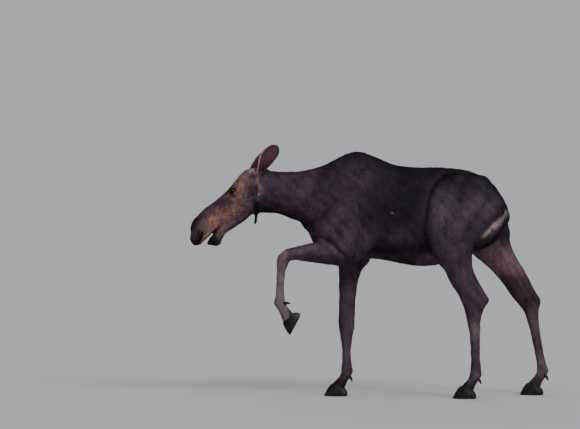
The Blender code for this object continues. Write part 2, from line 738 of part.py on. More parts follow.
def build():
    clear_scene()
    coat = material("dark_coat", (0.030, 0.022, 0.020), 0.75)
    face = material("face_coat", (0.075, 0.045, 0.032), 0.75)
    leg = material("leg_coat", (0.060, 0.040, 0.030), 0.75)
    horn = material("hoof_horn", (0.020, 0.017, 0.015), 0.45)
    eye_mat = material("eye", (0.010, 0.006, 0.004), 0.08)

    flesh = build_flesh()
    whole = copy_of(flesh, "whole")
    nodes = {}
    for name, point, half, turn, side_cut in PARTS:
        nodes[name] = part_off(flesh, name, point, half, turn, side_cut)
    nodes["trunk"] = flesh
    flesh.name = "trunk"

    head = nodes["head"]
    open_mouth(head)
    nodes["lower_jaw"] = part_jaw(head)

    # Lower legs: cannon and foot of each leg, parted from the leg above.
    for name, side, fetlock, flex in FEET:
        x, y, z = fetlock
        upper = nodes[name.replace("_", "leg_")]
        cannon = part_off(upper, name + "_cannon", (x, y, CANNON_TOP[name]),
                          (0.12, 0.30, 0.5))
        foot = part_off(cannon, name + "_foot", (x, y, z + 0.030),
                        (0.12, 0.30, 0.4))
        trim_coronet(foot, fetlock, flex)
        nodes[name + "_cannon"], nodes[name + "_foot"] = cannon, foot
        for hand, word in ((1, "outer"), (-1, "inner")):
            hand_x = hand * side
            hoof = "hoof_%s_%s" % (name, word)
            nodes[hoof] = claw(hoof, x, hand_x, fetlock, flex)
            spur = "dewclaw_%s_%s" % (name, word)
            nodes[spur] = dewclaw(spur, x, hand_x, fetlock, flex)
            trim_to(nodes[spur], foot)

    # Ears, eyes, bell and tail.
    nodes["ear_left"] = ear("ear_left", 1, (0.066, -0.783, 1.533),
                            (0.118, -0.664, 1.738), (0.93, -0.36, 0.05))
    nodes["ear_right"] = ear("ear_right", -1, (-0.064, -0.806, 1.546),
                             (-0.150, -0.680, 1.706), (-0.76, -0.62, 0.20))
    for side, name in ((1, "eye_left"), (-1, "eye_right")):
        centre = head_point(EYE_ALONG, EYE_UP, side * EYE_SIDE)
        nodes[name] = ball(name, centre, EYE_RADIUS)
        socket = ball("socket", centre, EYE_RADIUS + 2.0 * GAP)
        boolean(head, socket, "DIFFERENCE")
        remove(socket)
    bell_top = head_point(0.139, -0.113)
    nodes["bell"] = drop("bell", (bell_top, bell_top + Vector((0, 0.006, -0.035)),
                                  bell_top + Vector((0, 0.004, -0.070)),
                                  bell_top + Vector((0, -0.002, -0.100)),
                                  bell_top + Vector((0, -0.003, -0.108))),
                         (0.020, 0.017, 0.010, 0.009, 0.004), 10)
    nodes["tail"] = drop("tail", ((0, 0.880, 1.405), (0, 0.918, 1.365),
                                  (0, 0.938, 1.325), (0, 0.943, 1.290),
                                  (0, 0.942, 1.272)),
                         (0.026, 0.028, 0.025, 0.017, 0.006), 12, 0.6)
    for name in ("ear_left", "ear_right", "bell", "tail"):
        trim_to(nodes[name], whole)
    remove(whole)

    for name, obj in nodes.items():
        obj.name = name
        obj.data.name = name
        tidy_mesh(obj)
        recalc(obj)
        obj.data.materials.clear()
        if name.startswith(("hoof", "dewclaw")):
            obj.data.materials.append(horn)
        elif name.startswith("eye"):
            obj.data.materials.append(eye_mat)
        elif name in ("head", "lower_jaw") or name.startswith("ear"):
            obj.data.materials.append(face)
        elif name.startswith(("fore", "hind")):
            obj.data.materials.append(leg)
        else:
            obj.data.materials.append(coat)
        for polygon in obj.data.polygons:
            polygon.use_smooth = not name.startswith("hoof")
    return nodes


build()
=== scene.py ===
"""Looks of a life-size cow moose wading with its left foreleg lifted.

One skin stands for all the flesh of the frame.  It is a set of closed ring
stacks, joined by a voxel remesh that is finer on the head, then modelled with
grooves and swellings.  Thousands of small pointed locks lie over it as the
coat.  Eyes, lids, nostrils, ears, claws and dewclaws are pieces of their own.
The animal faces -Y, its left side is +X, and the floor is z = 0.
"""
import math

import bpy
import numpy as np
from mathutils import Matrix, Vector
from mathutils.bvhtree import BVHTree


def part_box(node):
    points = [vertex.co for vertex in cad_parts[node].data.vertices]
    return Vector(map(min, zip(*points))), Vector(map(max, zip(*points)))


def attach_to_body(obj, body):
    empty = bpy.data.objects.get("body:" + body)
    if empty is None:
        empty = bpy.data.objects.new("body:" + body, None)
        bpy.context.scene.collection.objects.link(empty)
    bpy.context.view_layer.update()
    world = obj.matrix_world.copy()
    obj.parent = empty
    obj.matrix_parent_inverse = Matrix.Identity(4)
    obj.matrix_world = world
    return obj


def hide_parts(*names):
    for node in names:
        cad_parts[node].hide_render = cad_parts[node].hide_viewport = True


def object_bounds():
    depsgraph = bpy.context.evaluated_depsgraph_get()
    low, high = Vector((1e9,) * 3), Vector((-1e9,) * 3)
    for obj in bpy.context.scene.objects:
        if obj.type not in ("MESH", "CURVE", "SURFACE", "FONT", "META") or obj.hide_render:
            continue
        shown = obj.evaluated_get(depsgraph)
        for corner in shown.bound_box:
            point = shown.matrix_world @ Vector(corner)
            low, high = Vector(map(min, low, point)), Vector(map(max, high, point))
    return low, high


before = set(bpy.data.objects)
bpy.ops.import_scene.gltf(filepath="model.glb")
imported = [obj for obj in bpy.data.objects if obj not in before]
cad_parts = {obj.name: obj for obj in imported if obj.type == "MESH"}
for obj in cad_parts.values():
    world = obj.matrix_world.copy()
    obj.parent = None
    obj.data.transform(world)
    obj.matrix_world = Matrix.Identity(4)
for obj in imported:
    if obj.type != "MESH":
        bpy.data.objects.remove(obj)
CAD_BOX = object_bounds()


def middle_of(node):
    """Centre of a node's box as an array."""
    low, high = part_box(node)
    return (np.array(low) + np.array(high)) / 2.0


# ---------------- driving sizes
FLOOR = CAD_BOX[0][2]
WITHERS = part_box("trunk")[1][2] + 0.0025
HEAD_ORIGIN = np.array((0.0, -0.76, 1.47))
HEAD_DROP = math.radians(36.4)
ALONG = np.array((0.0, -math.cos(HEAD_DROP), -math.sin(HEAD_DROP)))
UP = np.array((0.0, -math.sin(HEAD_DROP), math.cos(HEAD_DROP)))
SIDE = np.array((1.0, 0.0, 0.0))
SIGNS = {"left": 1.0, "right": -1.0}
EYE_RADIUS = 0.0205
EYES = {"left": middle_of("eye_left"), "right": middle_of("eye_right")}

EAR_HALF_WIDTH = 0.049
EAR_THICKNESS = 0.006
FETLOCK_HEIGHT = 0.165
CORONET = (0.055, 0.095)
CORONET_TILT = math.radians(20.4)
TOE_AHEAD, HEEL_AHEAD = 0.158, -0.004
CLAW_HALF_WIDTH = 0.0235
CLEFT = 0.006
MOUTH_APEX = (0.452, -0.069)           # s, t where the lips part
MOUTH_FRONT = (0.64, -0.092, -0.126)  # s, upper and lower lip at the front
TURN = 2.0 * math.pi       # one full turn
FLOOR_RADIUS = 70.0
LAMP_AIM = (0.0, 0.0, 1.0)
CAMERA_AIM, CAMERA_DISTANCE = (0.0, -0.566, 1.259), 25.0
CAMERA_RISE, CAMERA_TURN = 1.3, 90.0   # degrees

VOXEL = 0.0095             # voxel of the skin where it isn't magnified
HEAD_GAIN, HEAD_REACH = 2.45, 0.42
EYE_GAIN, EYE_REACH = 2.0, 0.04
NOSE_GAIN, NOSE_REACH = 1.6, 0.05
SKIN_TRIANGLES = 188000


def centred(*rows):
    """Rings of a shape whose middle is at x = 0: the rows with that put in."""
    return tuple((at, high, low, 0.0, half) for at, high, low, half in rows)


# Ring tables.  Trunk and neck: y, top, bottom, half width.
TRUNK = centred((-0.448, 1.42, 1.15, 0.105), (-0.41, 1.5, 1.062, 0.145), (-0.33, 1.585, 0.995, 0.185),
    (-0.2, 1.672, 0.957, 0.215), (-0.1, WITHERS, 0.948, 0.235), (0.02, 1.662, 0.95, 0.252),
    (0.15, 1.608, 0.928, 0.275), (0.3, 1.589, 0.902, 0.292), (0.44, 1.589, 0.908, 0.291),
    (0.56, 1.581, 0.945, 0.272), (0.68, 1.56, 0.99, 0.245), (0.79, 1.506, 1.03, 0.205),
    (0.87, 1.432, 1.095, 0.152), (0.912, 1.345, 1.18, 0.085))
NECK = centred((-0.12, 1.64, 1.16, 0.16), (-0.25, 1.64, 1.1, 0.165), (-0.355, 1.594, 1.08, 0.16),
    (-0.44, 1.573, 1.13, 0.138), (-0.49, 1.562, 1.198, 0.128), (-0.555, 1.558, 1.224, 0.115),
    (-0.655, 1.56, 1.262, 0.1), (-0.745, 1.566, 1.266, 0.09), (-0.805, 1.56, 1.275, 0.078))
# Head and jaw, along the head axis: s, top, bottom, half width.
HEAD = centred((-0.06, 0.1, -0.09, 0.068), (-0.01, 0.132, -0.1, 0.08), (0.035, 0.147, -0.1, 0.088),
    (0.085, 0.144, -0.09, 0.092), (0.14, 0.128, -0.085, 0.096), (0.2, 0.113, -0.085, 0.093),
    (0.27, 0.103, -0.082, 0.08), (0.345, 0.1, -0.076, 0.067), (0.42, 0.099, -0.07, 0.062),
    (0.485, 0.09, -0.07, 0.067), (0.54, 0.077, -0.086, 0.07), (0.58, 0.047, -0.092, 0.064),
    (0.605, 0.005, -0.078, 0.05))
JAW = centred((0.04, 0.0, -0.105, 0.055), (0.12, 0.0, -0.122, 0.066), (0.2, -0.01, -0.133, 0.064),
    (0.28, -0.02, -0.136, 0.054), (0.35, -0.035, -0.132, 0.045), (0.4, -0.05, -0.13, 0.041),
    (0.44, -0.062, -0.143, 0.042), (0.48, -0.072, -0.165, 0.045), (0.515, -0.084, -0.153, 0.042),
    (0.538, -0.098, -0.128, 0.03))

# Legs, stacked by height: z, front y, back y, mid x, half width.
HIND_LEFT = (
    (1.5, 0.54, 0.8, 0.12, 0.08), (1.4, 0.43, 0.88, 0.14, 0.105), (1.28, 0.37, 0.915, 0.152, 0.118),
    (1.15, 0.36, 0.8, 0.163, 0.115), (1.04, 0.38, 0.705, 0.17, 0.098), (0.96, 0.415, 0.685, 0.172, 0.08),
    (0.88, 0.487, 0.697, 0.172, 0.062), (0.8, 0.525, 0.733, 0.172, 0.052),
    (0.72, 0.575, 0.782, 0.174, 0.043), (0.678, 0.6, 0.808, 0.175, 0.043),
    (0.64, 0.613, 0.785, 0.175, 0.047), (0.59, 0.631, 0.758, 0.176, 0.045),
    (0.52, 0.645, 0.745, 0.177, 0.038), (0.44, 0.66, 0.742, 0.178, 0.034),
    (0.33, 0.667, 0.741, 0.179, 0.032), (0.235, 0.67, 0.744, 0.18, 0.033),
    (0.185, 0.667, 0.75, 0.18, 0.038), (0.15, 0.662, 0.748, 0.18, 0.04))
HIND_RIGHT = ((1.5, 0.56, 0.82, -0.12, 0.08), (1.4, 0.5, 0.89, -0.14, 0.105),
    (1.28, 0.5, 0.93, -0.152, 0.118), (1.15, 0.53, 0.951, -0.163, 0.112),
    (1.06, 0.6, 0.968, -0.168, 0.098), (0.98, 0.695, 1.0, -0.17, 0.082),
    (0.9, 0.793, 1.048, -0.171, 0.066), (0.8, 0.888, 1.103, -0.172, 0.054),
    (0.72, 0.947, 1.145, -0.173, 0.044), (0.658, 0.992, 1.182, -0.174, 0.044),
    (0.625, 1.022, 1.175, -0.174, 0.047), (0.58, 1.055, 1.166, -0.175, 0.044),
    (0.52, 1.078, 1.168, -0.175, 0.038), (0.44, 1.1, 1.177, -0.176, 0.034),
    (0.33, 1.124, 1.195, -0.177, 0.032), (0.235, 1.143, 1.214, -0.178, 0.033),
    (0.185, 1.148, 1.228, -0.178, 0.038), (0.15, 1.148, 1.23, -0.178, 0.04))
FORE_RIGHT = ((1.22, -0.33, -0.04, -0.15, 0.085), (1.1, -0.31, -0.01, -0.155, 0.085),
    (1.0, -0.27, 0.002, -0.152, 0.078), (0.93, -0.243, -0.01, -0.146, 0.068),
    (0.87, -0.232, -0.062, -0.138, 0.058), (0.8, -0.231, -0.088, -0.13, 0.052),
    (0.7, -0.23, -0.104, -0.118, 0.047), (0.62, -0.231, -0.11, -0.108, 0.046),
    (0.54, -0.234, -0.113, -0.098, 0.049), (0.48, -0.233, -0.116, -0.092, 0.048),
    (0.42, -0.222, -0.126, -0.088, 0.039), (0.35, -0.212, -0.137, -0.084, 0.033),
    (0.25, -0.209, -0.139, -0.08, 0.032), (0.19, -0.213, -0.131, -0.079, 0.038),
    (0.15, -0.214, -0.132, -0.078, 0.04))
FORE_LEFT_CANNON = ((1.0, -0.64, -0.56, 0.168, 0.04), (0.966, -0.659, -0.556, 0.168, 0.046),
    (0.93, -0.662, -0.57, 0.168, 0.043), (0.88, -0.661, -0.59, 0.168, 0.034),
    (0.8, -0.664, -0.601, 0.168, 0.03), (0.73, -0.667, -0.603, 0.168, 0.03),
    (0.68, -0.674, -0.6, 0.168, 0.034), (0.64, -0.677, -0.597, 0.168, 0.038))
# The lifted forearm runs along y: y, top, bottom, mid x, half width.
FORE_LEFT_ARM = ((-0.04, 1.15, 0.99, 0.165, 0.06), (-0.11, 1.16, 0.926, 0.168, 0.07),
    (-0.2, 1.15, 0.906, 0.17, 0.075), (-0.29, 1.12, 0.914, 0.17, 0.07),
    (-0.38, 1.084, 0.926, 0.17, 0.06), (-0.46, 1.062, 0.938, 0.17, 0.051),
    (-0.54, 1.043, 0.947, 0.169, 0.046), (-0.6, 1.026, 0.938, 0.168, 0.047),
    (-0.638, 0.996, 0.94, 0.168, 0.038))
# Shoulder masses, stacked by height and mirrored.
SHOULDER = (
    (1.56, -0.2, 0.02, 0.08, 0.045), (1.44, -0.28, 0.05, 0.12, 0.07), (1.3, -0.35, 0.06, 0.146, 0.088),
    (1.18, -0.4, 0.04, 0.158, 0.09), (1.08, -0.375, 0.01, 0.162, 0.082), (1.0, -0.3, -0.02, 0.16, 0.06))

# Rounded masses, mirrored: centre x, y, z and half sizes along x, y, z.
BODY_LUMPS = (
    ((0.13, 0.555, 1.5), (0.06, 0.095, 0.06)),   # point of the hip
    ((0.148, -0.36, 1.175), (0.066, 0.062, 0.08)),  # point of the shoulder
    ((0.09, 0.842, 1.352), (0.066, 0.056, 0.085)),   # pin bone
)
# The same on the head: side, along, up and half sizes side, along, up.
HEAD_LUMPS = (
    ((0.058, 0.18, 0.078), (0.04, 0.05, 0.036)),   # orbit
    ((0.052, 0.165, -0.03), (0.034, 0.105, 0.075)),  # cheek muscle
    ((0.04, 0.545, 0.01), (0.034, 0.05, 0.05)),   # nostril wing
    ((0.045, 0.02, 0.09), (0.045, 0.045, 0.045)),   # ear root
)

# Pastern in the foot's own frame: along, front, back, half width.
PASTERN = ((-0.03, 0.036, -0.04, 0.036), (0.01, 0.038, -0.043, 0.04), (0.05, 0.034, -0.039, 0.039),
    (0.085, 0.041, -0.043, 0.043), (0.125, 0.052, -0.049, 0.048))

# Feet: name, side sign, fetlock centre (x, y, z), backward flexion in degrees.
FEET = (("fore_left", 1, (0.168, -0.638, 0.65), 62.0),
    ("fore_right", -1, (-0.078, -0.173, FETLOCK_HEIGHT), 0.0),
    ("hind_left", 1, (0.18, 0.706, FETLOCK_HEIGHT), 0.0),
    ("hind_right", -1, (-0.178, 1.19, FETLOCK_HEIGHT), 0.0))


# Tail and bell: points down their middle, and radii.
TAIL = [(0, 0.863, 1.4), (0, 0.887, 1.356), (0, 0.909, 1.318), (0, 0.922, 1.287), (0, 0.925, 1.268)]
TAIL_RADII = [0.026, 0.027, 0.023, 0.016, 0.006]
BELL_TOP = HEAD_ORIGIN + ALONG * 0.139 - UP * 0.113
BELL = [BELL_TOP + np.array(step) for step in (
    (0, 0, 0), (0, 0.006, -0.035), (0, 0.004, -0.07), (0, -0.002, -0.1), (0, -0.003, -0.108))]
BELL_RADII = [0.021, 0.017, 0.015, 0.014, 0.009]
EARS = {"left": ((0.066, -0.783, 1.533), (0.118, -0.664, 1.738), (0.93, -0.36, 0.05)),
        "right": ((-0.064, -0.834, 1.534), (-0.15, -0.676, 1.703), (-0.76, -0.62, 0.2))}


# ---------------- small numbers
def ease(low, high, value):
    """Smooth step: 0 below low, 1 above high, 3t^2 - 2t^3 between."""
    t = np.clip((value - low) / (high - low), 0.0, 1.0)
    return t * t * (3.0 - 2.0 * t)


def unit(vectors):
    """Each row divided by its length."""
    return vectors / np.maximum(np.linalg.norm(vectors, axis=-1, keepdims=True), 1e-9)


def flat_on(way, normal):
    """Directions of length 1 without their part along the normal."""
    return unit(way - normal * np.einsum("ij,ij->i", way, normal)[:, None])


def mixed(values, corners, share):
    """Values at the corners of triangles, mixed by shares."""
    return np.einsum("ijk,ij->ik", values[corners], share)


def ripple(points, size, seed, waves=7):
    """Smooth unrepeating value about -1 to 1: a mean of sines whose random
    directions have wavelengths round the given size."""
    rng = np.random.default_rng(seed)
    directions = unit(rng.normal(size=(waves, 3)))
    lengths = size * rng.uniform(0.7, 1.6, waves)
    phase = rng.uniform(0.0, TURN, waves)
    turns = points @ (directions / lengths[:, None]).T * TURN
    return np.sin(turns + phase).sum(1) / math.sqrt(waves)


def blot(a, b, centre, half, turn=0.0):
    """Soft oval in a plane: exp of minus the squared distance from its centre,
    measured in half sizes along axes turned by the given degrees."""
    c, s = math.cos(math.radians(turn)), math.sin(math.radians(turn))
    da, db = a - centre[0], b - centre[1]
    u = (da * c + db * s) / half[0]
    v = (db * c - da * s) / half[1]
    return np.exp(-(u * u + v * v))


def stripe(a, b, path, width):
    """Soft band along a path in a plane: exp of minus the squared distance to
    the path's nearest piece in widths."""
    path = np.array(path, float)
    nearest = np.full(len(a), 1e9)
    for p, q in zip(path[:-1], path[1:]):
        line = q - p
        t = ((a - p[0]) * line[0] + (b - p[1]) * line[1]) / (line @ line)
        t = np.clip(t, 0.0, 1.0)
        gap = (a - p[0] - t * line[0]) ** 2 + (b - p[1] - t * line[1]) ** 2
        nearest = np.minimum(nearest, gap)
    return np.exp(-nearest / width ** 2)


def head_plane(points):
    """Distance along the head's axis and above it."""
    local = points - HEAD_ORIGIN
    return local @ ALONG, local @ UP


def head_point(s, t, x=0.0):
    """Place from the distance along the head, above it and to the side."""
    return HEAD_ORIGIN + ALONG * s + UP * t + SIDE * x


def foot_axes(flex):
    """Forward and down directions of a foot flexed back by flex degrees."""
    bend = math.radians(flex)
    forward = np.array((0.0, -math.cos(bend), -math.sin(bend)))
    down = np.array((0.0, math.sin(bend), -math.cos(bend)))
    return forward, down


# ---------------- meshes
def mesh_object(name, points, faces, smooth=True):
    """An object at the origin from arrays; faces is a list of index arrays,
    each of triangles or of quads."""
    mesh = bpy.data.meshes.new(name)
    groups = [np.asarray(f, np.int32) for f in faces if len(f)]
    loops = np.concatenate([g.ravel() for g in groups])
    sizes = np.concatenate([np.full(len(g), g.shape[1], np.int32) for g in groups])
    mesh.vertices.add(len(points))
    mesh.vertices.foreach_set("co", np.asarray(points, np.float32).ravel())
    mesh.loops.add(len(loops))
    mesh.loops.foreach_set("vertex_index", loops)
    mesh.polygons.add(len(sizes))
    starts = np.concatenate([[0], np.cumsum(sizes)[:-1]]).astype(np.int32)
    mesh.polygons.foreach_set("loop_start", starts)
    mesh.polygons.foreach_set("use_smooth", np.full(len(sizes), smooth))
    mesh.update(calc_edges=True)
    obj = bpy.data.objects.new(name, mesh)
    bpy.context.scene.collection.objects.link(obj)
    return obj


def move_points(obj, points):
    """Give the object's vertices new places."""
    obj.data.vertices.foreach_set("co", points.astype(np.float32).ravel())
    obj.data.update()


def add_uv(obj, corners):
    """Unwrap of the mesh: one place for each corner of a face."""
    layer = obj.data.uv_layers.new(name="OFBake")
    layer.data.foreach_set("uv", corners.astype(np.float32).ravel())


def points_of(obj):
    """The object's vertices as rows."""
    flat = np.empty(len(obj.data.vertices) * 3, np.float32)
    obj.data.vertices.foreach_get("co", flat)
    return flat.reshape(-1, 3).astype(float)


def triangles_of(obj):
    """The corners of the object's triangles as rows."""
    mesh = obj.data
    mesh.calc_loop_triangles()
    flat = np.empty(len(mesh.loop_triangles) * 3, np.int32)
    mesh.loop_triangles.foreach_get("vertices", flat)
    return flat.reshape(-1, 3)


def face_normals(points, triangles):
    """Cross product of two edges of each triangle, twice its area long."""
    p, q, r = (points[triangles[:, k]] for k in range(3))
    return np.cross(q - p, r - p)


def point_normals(points, triangles):
    """Area-weighted mean of the normals of the triangles round each point."""
    face = face_normals(points, triangles)
    total = np.zeros_like(points)
    for axis in range(3):
        for corner in range(3):
            total[:, axis] += np.bincount(triangles[:, corner], face[:, axis], len(points))
    return unit(total)


def outward(points, faces):
    """The faces turned round if the closed shape's volume comes out negative."""
    volume = 0.0
    for group in faces:
        a = points[group[:, 0]]
        for k in range(1, group.shape[1] - 1):
            b, c = points[group[:, k]], points[group[:, k + 1]]
            volume += np.einsum("ij,ij->", a, np.cross(b, c))
    return faces if volume > 0.0 else [group[:, ::-1] for group in faces]


def put(obj, name, values):
    """Store one number or one colour for each vertex."""
    values = np.asarray(values, np.float32)
    if values.ndim == 1:
        layer = obj.data.attributes.new(name, "FLOAT", "POINT")
        layer.data.foreach_set("value", values)
        return
    rows = np.ones((len(values), 4), np.float32)
    rows[:, :3] = values
    layer = obj.data.color_attributes.new(name, "FLOAT_COLOR", "POINT")
    layer.data.foreach_set("color", rows.ravel())


def baked(obj):
    """Replace the object's mesh by the result of its modifiers."""
    graph = bpy.context.evaluated_depsgraph_get()
    mesh = bpy.data.meshes.new_from_object(obj.evaluated_get(graph))
    obj.modifiers.clear()
    obj.data = mesh
    return obj


# ---------------- closed shapes
def cubic_rows(rows, count):
    """Rows on cubic curves through the given ones, evenly spaced in the first
    column, with slopes from the neighbouring rows."""
    rows = np.array(rows, float)
    if rows[-1, 0] < rows[0, 0]:
        rows = rows[::-1]
    at = rows[:, 0]
    slope = np.gradient(rows, at, axis=0)
    want = np.linspace(at[0], at[-1], count)
    cell = np.clip(np.searchsorted(at, want) - 1, 0, len(at) - 2)
    width = (at[cell + 1] - at[cell])[:, None]
    t = (want - at[cell])[:, None] / width
    low, high = rows[cell], rows[cell + 1]
    low_slope, high_slope = slope[cell] * width, slope[cell + 1] * width
    return ((2 * t**3 - 3 * t**2 + 1) * low + (t**3 - 2 * t**2 + t) * low_slope
            + (3 * t**2 - 2 * t**3) * high + (t**3 - t**2) * high_slope)


def ring_steps(count, around):
    """Numbers of a ring's points, of the ones after them, and where rings start."""
    k = np.arange(around)
    return k, (k + 1) % around, np.arange(count - 1)[:, None] * around


def ring_grid(rings):
    """Closed shape from an array of rings and points: quads between rings, and
    a fan to the middle of the first and last ring."""
    count, around = rings.shape[:2]
    points = np.concatenate([rings.reshape(-1, 3), [rings[0].mean(0)], [rings[-1].mean(0)]])
    k, n, base = ring_steps(count, around)
    quads = np.stack([base + k, base + n, base + around + n, base + around + k], -1).reshape(-1, 4)
    first, last = count * around, count * around + 1
    start = np.stack([np.full(around, first), n, k], -1)
    end = np.stack([np.full(around, last), (count - 1) * around + k, (count - 1) * around + n], -1)
    return points, outward(points, [quads, start, end])


def ring_stack(rows, origin, along, up, count=60, around=48, power=(2.0, 2.0), middle=0.5, cap=0.5):
    """Closed stack of rings.  A ring is a superellipse with the row's high and
    low edge along up and its half width along x; each end closes as a dome
    whose rings shrink by the cosine of rising angles."""
    rows = cubic_rows(rows, count)
    arc = np.radians((84.0, 72.0, 56.0, 38.0, 19.0))
    picks = np.concatenate([np.zeros(5, int), np.arange(count), np.full(5, count - 1)])
    signs = np.concatenate([-np.ones(5), np.zeros(count), np.ones(5)])
    bends = np.concatenate([arc, np.zeros(count), arc[::-1]])
    at, high, low, mid, half = rows[picks].T[:, :, None]
    reach = cap * np.minimum(half, 0.5 * (high - low))
    at = at + (signs * np.sin(bends))[:, None] * reach
    grow = np.cos(bends)[:, None]
    turn = np.linspace(0.0, TURN, around, endpoint=False)
    c, s = np.cos(turn), np.sin(turn)
    exponent = 2.0 / np.where(c > 0, power[0], power[1])
    u = np.sign(c) * np.abs(c) ** exponent
    v = np.sign(s) * np.abs(s) ** exponent
    centre = low + middle * (high - low)
    rise = centre + np.where(c > 0, high - centre, centre - low) * u * grow
    wide = mid + half * v * grow
    rings = (np.array(origin) + at[..., None] * np.array(along)
            + rise[..., None] * np.array(up) + wide[..., None] * SIDE)
    return ring_grid(rings)


def ball_shares(tilt, turn):
    """Shares of three axes at angles from the third and round it."""
    return np.sin(tilt) * np.cos(turn), np.sin(tilt) * np.sin(turn), np.cos(tilt) + 0.0 * turn


def oval(centre, half, axes, around=32, rings=20):
    """Closed ellipsoid with its half sizes along three axes."""
    tilt = np.linspace(0.06, math.pi - 0.06, rings)[:, None]
    shares = ball_shares(tilt, np.linspace(0.0, TURN, around, endpoint=False))
    return ring_grid(np.array(centre, float) + sum((share * h)[..., None] * np.array(axis, float)
            for share, h, axis in zip(shares, half, axes)))


def tube(path, radii, around=32, flat=1.0, count=28):
    """Closed round piece along a path: circles across it, with the second axis
    flattened, through points spaced evenly by cubic curves."""
    path, radii = np.array(path, float), np.array(radii, float)
    run = np.concatenate([[0.0], np.cumsum(np.linalg.norm(np.diff(path, axis=0), axis=1))])
    rows = cubic_rows(np.column_stack([run, path, radii]), count)
    centres, radius = rows[:, 1:4], np.maximum(rows[:, 4], 0.0008)
    ahead = unit(np.gradient(centres, axis=0))
    other = unit(np.cross(ahead, SIDE))
    turn = np.linspace(0.0, TURN, around, endpoint=False)
    rings = (centres[:, None] + radius[:, None, None] * (np.cos(turn)[None, :, None] * SIDE
            + flat * np.sin(turn)[None, :, None] * other[:, None]))
    return ring_grid(rings)


def without(shape, cutter):
    """The closed shape less the cutter, by a Boolean difference."""
    whole = mesh_object("whole", *shape)
    tool = mesh_object("tool", *cutter)
    cut = whole.modifiers.new("Cut", "BOOLEAN")
    cut.operation = "DIFFERENCE"
    cut.solver = "EXACT"
    cut.object = tool
    baked(whole)
    result = points_of(whole), [triangles_of(whole)]
    for obj in (whole, tool):
        bpy.data.objects.remove(obj, do_unlink=True)
    return result


# ---------------- magnifying
def foci():
    """Centre, gain and reach of each magnified place, in the order they act."""
    places = [(head_point(0.3, 0.0), HEAD_GAIN, HEAD_REACH)]
    local = [(eye, EYE_GAIN, EYE_REACH) for eye in EYES.values()]
    local += [(head_point(0.565, -0.04, x), NOSE_GAIN, NOSE_REACH) for x in (0.05, -0.05)]
    for centre, gain, reach in local:
        places.append((magnify(centre[None], places)[0], gain, reach))
    return places


def magnify(points, places):
    """Push points away from each centre: a distance r becomes
    r + (gain - 1) reach tanh(r / reach)."""
    for centre, gain, reach in places:
        away = points - centre
        r = np.maximum(np.linalg.norm(away, axis=1, keepdims=True), 1e-9)
        points = centre + away * (1.0 + (gain - 1.0) * reach * np.tanh(r / reach) / r)
    return points


def shrink_back(points, places):
    """Undo magnify: the same distance found by Newton's method."""
    for centre, gain, reach in places[::-1]:
        away = points - centre
        far = np.maximum(np.linalg.norm(away, axis=1, keepdims=True), 1e-9)
        r = np.maximum(far - (gain - 1.0) * reach, far / gain)
        for _ in range(12):
            t = np.tanh(r / reach)
            value = r + (gain - 1.0) * reach * t - far
            r = r - value / (1.0 + (gain - 1.0) * (1.0 - t * t))
        points = centre + away * (r / far)
    return points


def relaxed(points, edges, amount, steps):
    """Each point moved toward the mean of its neighbours by amount, repeated."""
    a, b = edges.T
    degree = np.maximum(np.bincount(np.concatenate([a, b]), minlength=len(points)), 1)
    for _ in range(steps):
        mean = np.empty_like(points)
        for axis in range(3):
            mean[:, axis] = (np.bincount(a, points[b, axis], len(points))
                    + np.bincount(b, points[a, axis], len(points)))
        mean /= degree[:, None]
        points = points + amount[:, None] * (mean - points)
    return points


# ---------------- the flesh
def mouth_wedge():
    """Wedge between the lips as a closed prism across the head."""
    tip, front = MOUTH_APEX, MOUTH_FRONT
    profile = ((tip[0], tip[1] + 0.0012), (front[0], front[1]),
            (front[0], front[2]), (tip[0], tip[1] - 0.0012))
    points = np.array([head_point(s, t, x) for x in (-0.12, 0.12) for s, t in profile])
    quads = np.array([(0, 1, 2, 3), (7, 6, 5, 4), (0, 4, 5, 1), (1, 5, 6, 2), (2, 6, 7, 3), (3, 7, 4, 0)])
    return points, outward(points, [quads])


